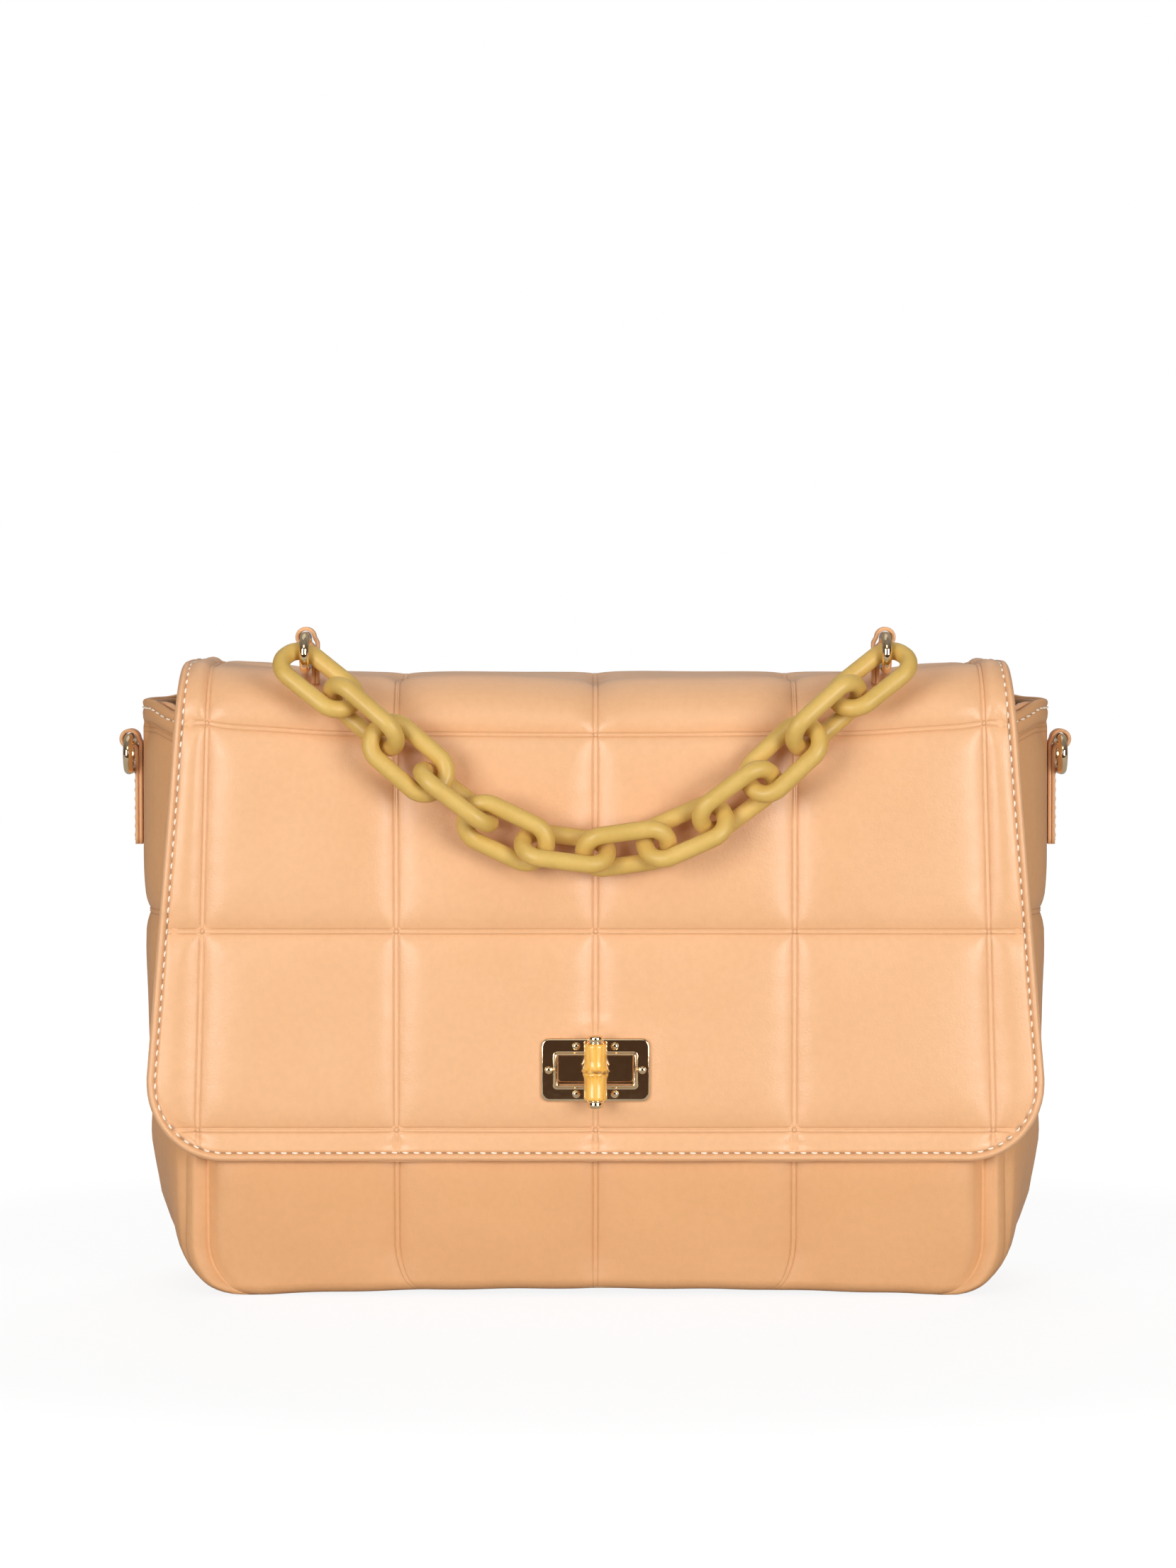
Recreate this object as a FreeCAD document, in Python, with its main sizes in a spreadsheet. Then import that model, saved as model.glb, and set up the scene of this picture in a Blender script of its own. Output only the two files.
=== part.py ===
import FreeCAD, Part
import math
import operator
import os

import Sketcher

# Driving dimensions: millimetres, or degrees where the name says angle, and shares without a unit
SIZES = {
    # Bag body
    "body_half_width": 138.0,
    "body_depth": 92.0,
    "body_corner_radius": 18.0,
    "front_lip_drop": 14.0,
    "back_lip_drop": 6.7,
    "gusset_lip_drop": 9.0,
    "panel_thick": 4.0,
    "gusset_thick": 3.0,
    "seam_swell": 0.8,
    "middle_swell": 14.0,
    "middle_swell_height": 50.0,
    "upper_swell": 17.0,
    "upper_swell_height": 130.0,
    "base_thick": 2.5,
    "base_edge_round": 2.0,
    "board_thick": 2.0,
    "lining_thick": 0.8,
    "facing_height": 22.0,
    "layer_gap": 0.2,
    "lining_gap": 0.5,
    # Flap
    "flap_gap": 2.4,
    "flap_thick": 3.2,
    "flap_top_height": 209.0,
    "flap_bottom_height": 46.0,
    "flap_widest_height": 74.0,
    "flap_overhang": 12.0,
    "flap_side_taper": 11.0,
    "flap_bend_radius": 22.0,
    "flap_corner_radius": 26.0,
    "quilt_pitch": 66.5,
    "quilt_depth": 2.0,
    "quilt_half_width": 7.0,
    "quilt_border": 9.0,
    "quilt_top_line_rise": 2.5,
    "flap_lining_inset": 2.0,
    "hinge_gap": 0.3,
    "hinge_setback": 0.3,
    # Strap tabs and rings
    "ring_half_height": 5.4,
    "ring_half_length": 11.0,
    "ring_corner_radius": 5.2,
    "ring_wire_radius": 1.6,
    "ring_rise": 0.3,
    "ring_clearance": 0.3,
    "strap_thick": 1.3,
    "side_strap_width": 9.0,
    "handle_strap_width": 6.2,
    "handle_strap_setback": 1.9,
    "eye_radius": 2.2,
    "side_eye_drop": 14.0,
    "side_tab_length": 36.0,
    "tab_seat_gap": 0.1,
    "handle_ring_reach": 5.2,
    "handle_ring_setback": 12.3,
    "handle_ring_lift": 8.8,
    # Chain
    "link_length": 34.0,
    "link_width": 20.2,
    "link_wire_radius": 2.95,
    "link_corner_radius": 6.6,
    "link_pitch": 20.28,
    "link_standoff": 10.36,
    "chain_drop": 57.6,
    # Turn lock
    "lock_height": 77.0,
    "lock_plate_width": 36.3,
    "lock_plate_height": 21.2,
    "lock_plate_thick": 1.2,
    "lock_plate_corner": 2.7,
    "bezel_width": 27.5,
    "bezel_height": 11.6,
    "bezel_rise": 1.2,
    "slot_width": 25.0,
    "slot_height": 10.0,
    "rivet_radius": 0.8,
    "rivet_head_radius": 1.32,
    "rivet_head_rise": 0.7,
    "rivet_fit": 0.05,
    "rivet_near_x": 6.4,
    "rivet_near_z": 8.0,
    "rivet_far_x": 15.6,
    "back_plate_thick": 0.8,
    "lock_base_width": 23.4,
    "lock_base_height": 8.6,
    "lock_base_rise": 1.5,
    "lock_flange_width": 30.0,
    "lock_flange_height": 14.0,
    "lock_flange_thick": 0.8,
    "prong_radius": 0.9,
    "prong_half_span": 12.5,
    "stem_radius": 2.0,
    "stem_fit": 0.05,
    "stem_inset": 3.0,
    "toggle_clearance": 0.6,
    "grip_half_length": 9.35,
    "grip_end_radius": 3.92,
    "grip_waist_radius": 3.75,
    "grip_knot_radius": 4.7,
    "grip_waist_height": 3.2,
    "cap_radius": 2.55,
    "cap_length": 2.9,
    "cap_round": 0.6,
    # Overrun of every cut
    "cut_over": 5.0,
    # Shares of the corner radius at which an end wall has a section
    "corner_low_share": 0.3,
    "corner_high_share": 0.62,
}

# Direction of the chain from one link to the next, from the middle outwards, measured on the flap's face
RIGHT_HEADING_ANGLES = (16.0, 31.6, 41.7, 45.3, 41.1)
LEFT_HEADING_ANGLES = (14.8, 36.0, 39.3, 43.0, 41.3)
# Roll of each link about its own length, from the middle outwards
RIGHT_ROLL_ANGLES = (38.3, -39.4, 43.9, -32.0, 64.2, -15.5)
LEFT_ROLL_ANGLES = (-56.9, 19.3, -79.7, -12.7, 70.3, -14.0)
TOLERANCE = 1e-4

OPERATIONS = {
    "+": operator.add,
    "-": operator.sub,
    "*": operator.mul,
    "/": operator.truediv,
}

doc = FreeCAD.newDocument("chain_shoulder_bag")
nodes = {}


class Size:
    """A length that carries its value and the sheet expression that gives it."""

    def __init__(self, value, text):
        self.value = value
        self.text = text

    def __add__(self, other):
        return joined(self, "+", other)

    def __radd__(self, other):
        return joined(other, "+", self)

    def __sub__(self, other):
        return joined(self, "-", other)

    def __rsub__(self, other):
        return joined(other, "-", self)

    def __mul__(self, other):
        return joined(self, "*", other)

    def __rmul__(self, other):
        return joined(other, "*", self)

    def __truediv__(self, other):
        return joined(self, "/", other)

    def __neg__(self):
        return Size(-self.value, "-(%s)" % self.text)


def as_size(amount):
    if isinstance(amount, Size):
        return amount
    return Size(float(amount), repr(float(amount)))


def joined(first, sign, second):
    first = as_size(first)
    second = as_size(second)
    value = OPERATIONS[sign](first.value, second.value)
    return Size(value, "(%s %s %s)" % (first.text, sign, second.text))


def root(amount):
    return Size(math.sqrt(amount.value), "sqrt(%s)" % amount.text)


def make_sheet():
    sheet = doc.addObject("Spreadsheet::Sheet", "Sheet")
    for row, (alias, value) in enumerate(SIZES.items(), start=1):
        cell = "A%d" % row
        sheet.set(cell, repr(value))
        sheet.setAlias(cell, alias)
    doc.recompute()
    return sheet


sheet = make_sheet()


def size(alias):
    return Size(float(sheet.get(alias)), "Sheet.%s" % alias)


def bind(thing, prop, amount):
    thing.setExpression(prop, as_size(amount).text)


def bind_place(thing, x, y, z):
    bind(thing, "Placement.Base.x", x)
    bind(thing, "Placement.Base.y", y)
    bind(thing, "Placement.Base.z", z)


def keep(label, thing):
    thing.Label = label
    nodes[label] = thing
    return thing


# Sketch and feature helpers
def new_body(label):
    return keep(label, doc.addObject("PartDesign::Body", label))


def new_sketch(body, role, offset):
    sketch = body.newObject("Sketcher::SketchObject", "%s_outline" % body.Name)
    plane = [item for item in body.Origin.OriginFeatures if item.Role == role][0]
    sketch.AttachmentSupport = [(plane, "")]
    sketch.MapMode = "FlatFace"
    bind(sketch, "AttachmentOffset.Base.z", offset)
    return sketch


def fix_point(sketch, geometry, end, x, y):
    for kind, amount in (("DistanceX", x), ("DistanceY", y)):
        amount = as_size(amount)
        rule = Sketcher.Constraint(kind, -1, 1, geometry, end, amount.value)
        index = sketch.addConstraint(rule)
        bind(sketch, "Constraints[%d]" % index, amount)


def draw_polygon(sketch, points):
    """A closed run of straight lines through points given as pairs of sizes."""
    spots = [FreeCAD.Vector(as_size(x).value, as_size(y).value, 0) for x, y in points]
    first = sketch.GeometryCount
    count = len(points)
    for index in range(count):
        line = Part.LineSegment(spots[index], spots[(index + 1) % count])
        sketch.addGeometry(line, False)
    for index in range(count):
        following = first + (index + 1) % count
        sketch.addConstraint(Sketcher.Constraint("Coincident", first + index, 2, following, 1))
    for index, (x, y) in enumerate(points):
        fix_point(sketch, first + index, 1, x, y)


def draw_circle(sketch, x, y, radius):
    centre = FreeCAD.Vector(as_size(x).value, as_size(y).value, 0)
    index = sketch.addGeometry(Part.Circle(centre, FreeCAD.Vector(0, 0, 1), radius.value), False)
    fix_point(sketch, index, 3, x, y)
    rule = sketch.addConstraint(Sketcher.Constraint("Radius", index, radius.value))
    bind(sketch, "Constraints[%d]" % rule, radius)


def rectangle(half_x, low_y, high_y):
    return [(-half_x, low_y), (half_x, low_y), (half_x, high_y), (-half_x, high_y)]


def box_about(x, y, width, height):
    half_x = width / 2
    half_y = height / 2
    return [
        (x - half_x, y - half_y),
        (x + half_x, y - half_y),
        (x + half_x, y + half_y),
        (x - half_x, y + half_y),
    ]


def pad(body, sketch, length, midplane=False):
    feature = body.newObject("PartDesign::Pad", "%s_pad" % body.Name)
    feature.Profile = sketch
    feature.Midplane = midplane
    bind(feature, "Length", length)
    doc.recompute()
    return feature


def cut_through(body, sketch):
    """Cuts the sketch right through the body, both ways."""
    before = body.Shape.Volume
    feature = body.newObject("PartDesign::Pocket", "%s_cut" % body.Name)
    feature.Profile = sketch
    feature.Type = "ThroughAll"
    feature.Midplane = True
    doc.recompute()
    if body.Shape.Volume >= before:
        raise RuntimeError("a cut in %s removes nothing" % body.Label)


def cut_depth(body, sketch, depth):
    """Cuts to a depth on the sketch's back side."""
    before = body.Shape.Volume
    feature = body.newObject("PartDesign::Pocket", "%s_recess" % body.Name)
    feature.Profile = sketch
    bind(feature, "Length", depth)
    doc.recompute()
    if body.Shape.Volume >= before:
        raise RuntimeError("a recess in %s removes nothing" % body.Label)


def cut_round(body, sketch, height):
    """Cuts a quarter turn about a level line of the sketch at a height, from the top to the front."""
    before = body.Shape.Volume
    ends = [(size("cut_over") * side, height) for side in (-1, 1)]
    spots = [FreeCAD.Vector(as_size(x).value, as_size(y).value, 0) for x, y in ends]
    axis = sketch.addGeometry(Part.LineSegment(*spots), True)
    for end, (x, y) in enumerate(ends, start=1):
        fix_point(sketch, axis, end, x, y)
    feature = body.newObject("PartDesign::Groove", "%s_round_cut" % body.Name)
    feature.Profile = sketch
    feature.ReferenceAxis = (sketch, ["Axis0"])
    feature.Angle = 90
    doc.recompute()
    if body.Shape.Volume >= before:
        raise RuntimeError("a round cut in %s removes nothing" % body.Label)


def near(first, second):
    return abs(first - second) < TOLERANCE


def edges_along_y(shape, corners):
    """Names of the straight edges along Y that stand on the given X and Z corners."""
    found = []
    for index, edge in enumerate(shape.Edges, start=1):
        start = edge.Vertexes[0].Point
        end = edge.Vertexes[-1].Point
        if not (near(start.x, end.x) and near(start.z, end.z)):
            continue
        if any(near(start.x, x.value) and near(start.z, z.value) for x, z in corners):
            found.append("Edge%d" % index)
    return found


def edges_along_x(shape, corners):
    """Names of the straight edges along X that run through the given Y and Z corners."""
    found = []
    for index, edge in enumerate(shape.Edges, start=1):
        start = edge.Vertexes[0].Point
        end = edge.Vertexes[-1].Point
        if not (near(start.y, end.y) and near(start.z, end.z)):
            continue
        if any(near(start.y, y.value) and near(start.z, z.value) for y, z in corners):
            found.append("Edge%d" % index)
    return found


def round_edges(body, names, radius):
    base = body.Tip
    feature = body.newObject("PartDesign::Fillet", "%s_round" % body.Name)
    feature.Base = (base, names)
    bind(feature, "Radius", radius)
    doc.recompute()


# Sizes that several pieces share
front_height = size("flap_top_height") - size("front_lip_drop")
back_height = size("flap_top_height") - size("back_lip_drop")
gusset_height = size("flap_top_height") - size("gusset_lip_drop")
flap_bottom_half_width = size("body_half_width") + size("flap_overhang")
flap_top_half_width = flap_bottom_half_width - size("flap_side_taper")
half_depth = size("body_depth") / 2
inner_depth = half_depth - size("panel_thick")
corner_radius = size("body_corner_radius")
board_top = size("base_thick") + size("board_thick")
lining_floor = board_top + size("lining_thick")
lining_inset = size("gusset_thick") + size("layer_gap")
lining_half_width = size("body_half_width") - lining_inset - size("lining_thick") - size("lining_gap")
flap_front = half_depth + size("flap_gap") + size("lining_thick") + size("flap_thick")
bend_centre_y = size("flap_bend_radius") - flap_front
bend_centre_z = size("flap_top_height") - size("flap_bend_radius")


def seam_at(height):
    """Half-width of the body's seam line at a height, round the lower corners."""
    straight = size("body_half_width") - corner_radius
    if height.value >= corner_radius.value:
        return size("body_half_width")
    drop = corner_radius - height
    return straight + root(corner_radius * corner_radius - drop * drop)


def swell_at(height):
    """How far an end wall swells past its seams at a height."""
    low = size("middle_swell_height")
    high = size("upper_swell_height")
    if height.value <= low.value:
        return size("seam_swell") + (size("middle_swell") - size("seam_swell")) * height / low
    if height.value >= high.value:
        return size("upper_swell")
    return size("middle_swell") + (size("upper_swell") - size("middle_swell")) * (height - low) / (high - low)


# Quilting
def notch(x, y, facing_x, facing_y):
    """A V-shaped notch in an edge at a point, its open side facing along one axis."""
    deep = size("quilt_depth")
    over = size("cut_over")
    spread = size("quilt_half_width") * (deep + over) / deep
    if facing_x:
        mouth = x + facing_x * over
        return [(x - facing_x * deep, y), (mouth, y - spread), (mouth, y + spread)]
    mouth = y + facing_y * over
    return [(x, y - facing_y * deep), (x - spread, mouth), (x + spread, mouth)]


def quilt_columns():
    """Places across the width of the upright quilting lines, the outer pair beside the flap's edges."""
    outer = flap_top_half_width - size("quilt_border")
    columns = [as_size(0), -outer, outer]
    step = size("quilt_pitch")
    while (outer - step).value > size("quilt_pitch").value / 2:
        columns += [-step, step]
        step = step + size("quilt_pitch")
    return columns


def quilt_rows(bottom):
    """Heights of the level quilting lines that fit above a bottom edge."""
    rows = []
    row = bend_centre_z + size("quilt_top_line_rise")
    while (row - size("quilt_half_width")).value > bottom.value:
        rows.append(row)
        row = row - size("quilt_pitch")
    return rows


def quilt_panel(body, face, facing):
    """Quilting lines on the outer face of an upright panel."""
    columns = new_sketch(body, "XY_Plane", 0)
    for x in quilt_columns():
        draw_polygon(columns, notch(x, face, 0, facing))
    cut_through(body, columns)
    rows = new_sketch(body, "YZ_Plane", 0)
    for row in quilt_rows(corner_radius):
        draw_polygon(rows, notch(face, row, facing, 0))
    cut_through(body, rows)


def quilt_flap(body, rear):
    """Quilting lines on the flap: level ones, and upright ones that run over the bend and the crown."""
    top = size("flap_top_height")
    rows = new_sketch(body, "YZ_Plane", 0)
    for row in quilt_rows(size("flap_bottom_height")):
        draw_polygon(rows, notch(-flap_front, row, -1, 0))
    bend_run = size("flap_bend_radius") * (math.pi / 2) - size("quilt_top_line_rise")
    draw_polygon(rows, notch(bend_centre_y + size("quilt_pitch") - bend_run, top, 0, 1))
    cut_through(body, rows)
    front = new_sketch(body, "XY_Plane", bend_centre_z)
    for x in quilt_columns():
        draw_polygon(front, notch(x, -flap_front, 0, -1))
    cut_depth(body, front, bend_centre_z)
    crown = new_sketch(body, "XZ_Plane", -bend_centre_y)
    for x in quilt_columns():
        draw_polygon(crown, notch(x, top, 0, 1))
    cut_depth(body, crown, rear - bend_centre_y + size("cut_over"))
    bend = new_sketch(body, "XZ_Plane", -bend_centre_y)
    for x in quilt_columns():
        draw_polygon(bend, notch(x, top, 0, 1))
    cut_round(body, bend, bend_centre_z)


# Bag body
def upright_plate(label, points, rear, thickness):
    """A flat plate in the XZ plane whose rear face lies at Y = rear."""
    body = new_body(label)
    sketch = new_sketch(body, "XZ_Plane", -rear)
    draw_polygon(sketch, points)
    pad(body, sketch, thickness)
    return body


def panel(label, height, rear):
    half = size("body_half_width")
    body = upright_plate(label, rectangle(half, as_size(0), height), rear, size("panel_thick"))
    corners = [(-half, as_size(0)), (half, as_size(0))]
    round_edges(body, edges_along_y(body.Shape, corners), corner_radius)
    return body


def build_panels():
    front = panel("front_panel", front_height, -inner_depth)
    prongs = new_sketch(front, "XZ_Plane", 0)
    for side in (-1, 1):
        x = side * size("prong_half_span")
        draw_circle(prongs, x, size("lock_height"), size("prong_radius") + size("rivet_fit"))
    cut_through(front, prongs)
    recess = new_sketch(front, "XZ_Plane", inner_depth + size("lock_flange_thick"))
    width = size("lock_flange_width") + size("layer_gap") * 2
    height = size("lock_flange_height") + size("layer_gap") * 2
    draw_polygon(recess, box_about(as_size(0), size("lock_height"), width, height))
    cut_depth(front, recess, size("lock_flange_thick"))
    quilt_panel(front, -half_depth, -1)
    back = panel("back_panel", back_height, half_depth)
    quilt_panel(back, half_depth, 1)


def build_base():
    width = seam_at(size("base_thick"))
    body = new_body("base_panel")
    sketch = new_sketch(body, "XY_Plane", 0)
    draw_polygon(sketch, rectangle(width, -inner_depth, inner_depth))
    pad(body, sketch, size("base_thick"))
    ends = [(-width, as_size(0)), (width, as_size(0))]
    round_edges(body, edges_along_y(body.Shape, ends), size("base_edge_round"))
    layers = (
        ("base_board", size("base_thick"), size("board_thick")),
        ("lining_base", board_top, size("lining_thick")),
    )
    for label, floor, thick in layers:
        layer = new_body(label)
        outline = new_sketch(layer, "XY_Plane", floor)
        half = seam_at(floor) - size("gusset_thick") - size("lining_gap")
        depth = inner_depth - size("layer_gap")
        draw_polygon(outline, rectangle(half, -depth, depth))
        pad(layer, outline, thick)


def draw_swell(sketch, side, seam, swell, thickness):
    """A curved strip between two like arcs, from the front seam to the back seam."""
    radius = (inner_depth * inner_depth + swell * swell) / (swell * 2)
    span = math.asin(inner_depth.value / radius.value)
    facing = 0 if side > 0 else math.pi
    arcs = []
    for inset in (as_size(0), thickness):
        centre = FreeCAD.Vector(side * (seam + swell - inset - radius).value, 0, 0)
        circle = Part.Circle(centre, FreeCAD.Vector(0, 0, 1), radius.value)
        arc = sketch.addGeometry(Part.ArcOfCircle(circle, facing - span, facing + span), False)
        x = side * (seam - inset)
        fix_point(sketch, arc, 1, x, -side * inner_depth)
        fix_point(sketch, arc, 2, x, side * inner_depth)
        rule = sketch.addConstraint(Sketcher.Constraint("Radius", arc, radius.value))
        bind(sketch, "Constraints[%d]" % rule, radius)
        arcs.append(arc)
    for end, sign in ((1, -1), (2, 1)):
        y = side * sign * inner_depth.value
        outer = FreeCAD.Vector(side * seam.value, y, 0)
        inner = FreeCAD.Vector(side * (seam - thickness).value, y, 0)
        line = sketch.addGeometry(Part.LineSegment(outer, inner), False)
        sketch.addConstraint(Sketcher.Constraint("Coincident", arcs[0], end, line, 1))
        sketch.addConstraint(Sketcher.Constraint("Coincident", arcs[1], end, line, 2))


def end_wall(label, side, heights, inset, thickness):
    body = new_body(label)
    sections = []
    for height in heights:
        sketch = new_sketch(body, "XY_Plane", height)
        draw_swell(sketch, side, seam_at(height) - inset, swell_at(height), thickness)
        sections.append(sketch)
    doc.recompute()
    loft = body.newObject("PartDesign::AdditiveLoft", "%s_loft" % body.Name)
    loft.Profile = sections[0]
    loft.Sections = sections[1:]
    loft.Ruled = True
    doc.recompute()


def build_gussets():
    lining_top = gusset_height - size("facing_height")
    low = corner_radius * size("corner_low_share")
    high = corner_radius * size("corner_high_share")
    upper = [corner_radius, size("middle_swell_height"), size("upper_swell_height")]
    wall_heights = [size("base_thick"), low, high] + upper + [gusset_height]
    lining_heights = [lining_floor, high] + upper + [lining_top]
    facing_heights = [lining_top, gusset_height]
    for name, side in (("left", -1), ("right", 1)):
        end_wall("%s_gusset" % name, side, wall_heights, as_size(0), size("gusset_thick"))
        end_wall("lining_%s" % name, side, lining_heights, lining_inset, size("lining_thick"))
        end_wall("%s_mouth_facing" % name, side, facing_heights, lining_inset, size("lining_thick"))


def build_wall_linings():
    """Lining and mouth facing against the front and back panels."""
    walls = (
        ("front", front_height, size("lining_thick") - inner_depth),
        ("back", back_height, inner_depth),
    )
    half = lining_half_width
    for name, top, rear in walls:
        join = top - size("facing_height")
        body = upright_plate(
            "lining_%s" % name, rectangle(half, lining_floor, join), rear, size("lining_thick"))
        corners = [(-half, lining_floor), (half, lining_floor)]
        round_edges(body, edges_along_y(body.Shape, corners), corner_radius - lining_floor)
        upright_plate(
            "%s_mouth_facing" % name, rectangle(half, join, top), rear, size("lining_thick"))


# Flap
def flap_layer(label, depth, thickness, inset, rear, lip):
    """One bent layer of the flap, its outer face a given depth inside the flap's own outer face."""
    front = depth - flap_front
    top = size("flap_top_height") - depth
    bottom = size("flap_bottom_height") + inset
    half = flap_bottom_half_width - inset
    body = new_body(label)
    profile = new_sketch(body, "YZ_Plane", 0)
    points = [
        (front, bottom),
        (front, top),
        (rear, top),
        (rear, lip),
        (rear - thickness, lip),
        (rear - thickness, top - thickness),
        (front + thickness, top - thickness),
        (front + thickness, bottom),
    ]
    if near(lip.value, (top - thickness).value):
        points = points[:4] + points[6:]
    draw_polygon(profile, points)
    pad(body, profile, half * 2, midplane=True)
    outer = edges_along_x(body.Shape, [(front, top)])
    round_edges(body, outer, size("flap_bend_radius") - depth)
    inner = edges_along_x(body.Shape, [(front + thickness, top - thickness)])
    round_edges(body, inner, size("flap_bend_radius") - depth - thickness)
    taper = new_sketch(body, "XZ_Plane", 0)
    for side in (-1, 1):
        near_top = side * (flap_top_half_width - inset)
        widest = side * half
        beyond = side * (half + size("cut_over"))
        above = size("flap_top_height") + size("cut_over")
        draw_polygon(taper, [
            (near_top, size("flap_top_height")),
            (near_top, above),
            (beyond, above),
            (beyond, size("flap_widest_height")),
            (widest, size("flap_widest_height")),
        ])
    cut_through(body, taper)
    corners = [(-half, bottom), (half, bottom)]
    round_edges(body, edges_along_y(body.Shape, corners), size("flap_corner_radius") - inset)
    pierce_for_lock(body, with_slot=True)
    return body


def rivet_places():
    places = []
    for side in (-1, 1):
        places.append((side * size("rivet_far_x"), size("lock_height")))
        for level in (-1, 1):
            z = size("lock_height") + level * size("rivet_near_z")
            places.append((side * size("rivet_near_x"), z))
    return places


def pierce_for_lock(body, with_slot):
    """The lock's slot and its rivet holes, cut through one layer."""
    holes = new_sketch(body, "XZ_Plane", 0)
    for x, z in rivet_places():
        draw_circle(holes, x, z, size("rivet_radius") + size("rivet_fit"))
    if with_slot:
        slot = box_about(as_size(0), size("lock_height"), size("slot_width"), size("slot_height"))
        draw_polygon(holes, slot)
    cut_through(body, holes)


def build_flap():
    lip = back_height + size("hinge_gap")
    rear = half_depth - size("hinge_setback")
    shell = flap_layer("flap_shell", as_size(0), size("flap_thick"), as_size(0), rear, lip)
    quilt_flap(shell, rear)
    lining_top = size("flap_top_height") - size("flap_thick") - size("lining_thick")
    lining_rear = rear - size("flap_thick") - size("layer_gap")
    flap_layer(
        "flap_lining", size("flap_thick"), size("lining_thick"), size("flap_lining_inset"),
        lining_rear, lining_top)


# Turn lock
def build_lock_plates():
    plate_rear = -flap_front
    width = size("lock_plate_width")
    height = size("lock_plate_height")
    middle = size("lock_height")
    plate = upright_plate(
        "lock_plate", box_about(as_size(0), middle, width, height), plate_rear, size("lock_plate_thick"))
    corners = [(x * width / 2, middle + z * height / 2) for x in (-1, 1) for z in (-1, 1)]
    round_edges(plate, edges_along_y(plate.Shape, corners), size("lock_plate_corner"))
    bezel = new_sketch(plate, "XZ_Plane", flap_front + size("lock_plate_thick"))
    draw_polygon(bezel, box_about(as_size(0), middle, size("bezel_width"), size("bezel_height")))
    pad(plate, bezel, size("bezel_rise"))
    pierce_for_lock(plate, with_slot=True)
    back_rear = -(half_depth + size("flap_gap") - size("back_plate_thick"))
    back = upright_plate(
        "flap_back_plate", box_about(as_size(0), middle, width, height), back_rear,
        size("back_plate_thick"))
    round_edges(back, edges_along_y(back.Shape, corners), size("lock_plate_corner"))
    pierce_for_lock(back, with_slot=True)


def along_y(thing, x, start, z):
    """Points a round primitive's axis forwards, along -Y, from a starting depth."""
    thing.Placement.Rotation = FreeCAD.Rotation(FreeCAD.Vector(1, 0, 0), 90)
    bind_place(thing, x, start, z)


def cylinder(name, radius, height):
    thing = doc.addObject("Part::Cylinder", name)
    bind(thing, "Radius", radius)
    bind(thing, "Height", height)
    return thing


def fused(name, first, second):
    thing = doc.addObject("Part::Fuse", name)
    thing.Base = first
    thing.Tool = second
    return thing


def cut(name, base, tool):
    thing = doc.addObject("Part::Cut", name)
    thing.Base = base
    thing.Tool = tool
    return thing


def build_rivets():
    rear = -(half_depth + size("flap_gap") - size("back_plate_thick"))
    front = -(flap_front + size("lock_plate_thick"))
    rivets = []
    for index, (x, z) in enumerate(rivet_places(), start=1):
        shank = cylinder("rivet_shank_%d" % index, size("rivet_radius"), rear - front)
        along_y(shank, x, rear, z)
        head = doc.addObject("Part::Cone", "rivet_head_%d" % index)
        bind(head, "Radius1", size("rivet_head_radius"))
        bind(head, "Radius2", size("rivet_radius"))
        bind(head, "Height", size("rivet_head_rise"))
        along_y(head, x, front, z)
        rivets.append(fused("rivet_%d" % index, shank, head))
    group = doc.addObject("Part::Compound", "lock_rivets")
    group.Links = rivets
    keep("lock_rivets", group)


def build_lock_base():
    """Base on the front panel: flange, raised block through the slot, and two prongs."""
    middle = size("lock_height")
    flange = box_about(as_size(0), middle, size("lock_flange_width"), size("lock_flange_height"))
    body = upright_plate("lock_base", flange, -half_depth, size("lock_flange_thick"))
    block = new_sketch(body, "XZ_Plane", half_depth + size("lock_flange_thick"))
    draw_polygon(block, box_about(as_size(0), middle, size("lock_base_width"), size("lock_base_height")))
    pad(body, block, size("lock_base_rise"))
    prongs = new_sketch(body, "XZ_Plane", inner_depth + size("lock_flange_thick"))
    for side in (-1, 1):
        draw_circle(prongs, side * size("prong_half_span"), middle, size("prong_radius"))
    pad(body, prongs, size("panel_thick") - size("lock_flange_thick"))
    bore = new_sketch(body, "XZ_Plane", 0)
    draw_circle(bore, as_size(0), middle, size("stem_radius") + size("stem_fit"))
    cut_through(body, bore)
    upright_plate("lock_anchor_plate", flange, -inner_depth, size("lock_flange_thick"))


bezel_front = flap_front + size("lock_plate_thick") + size("bezel_rise")
toggle_depth = bezel_front + size("toggle_clearance") + size("grip_knot_radius")


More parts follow.
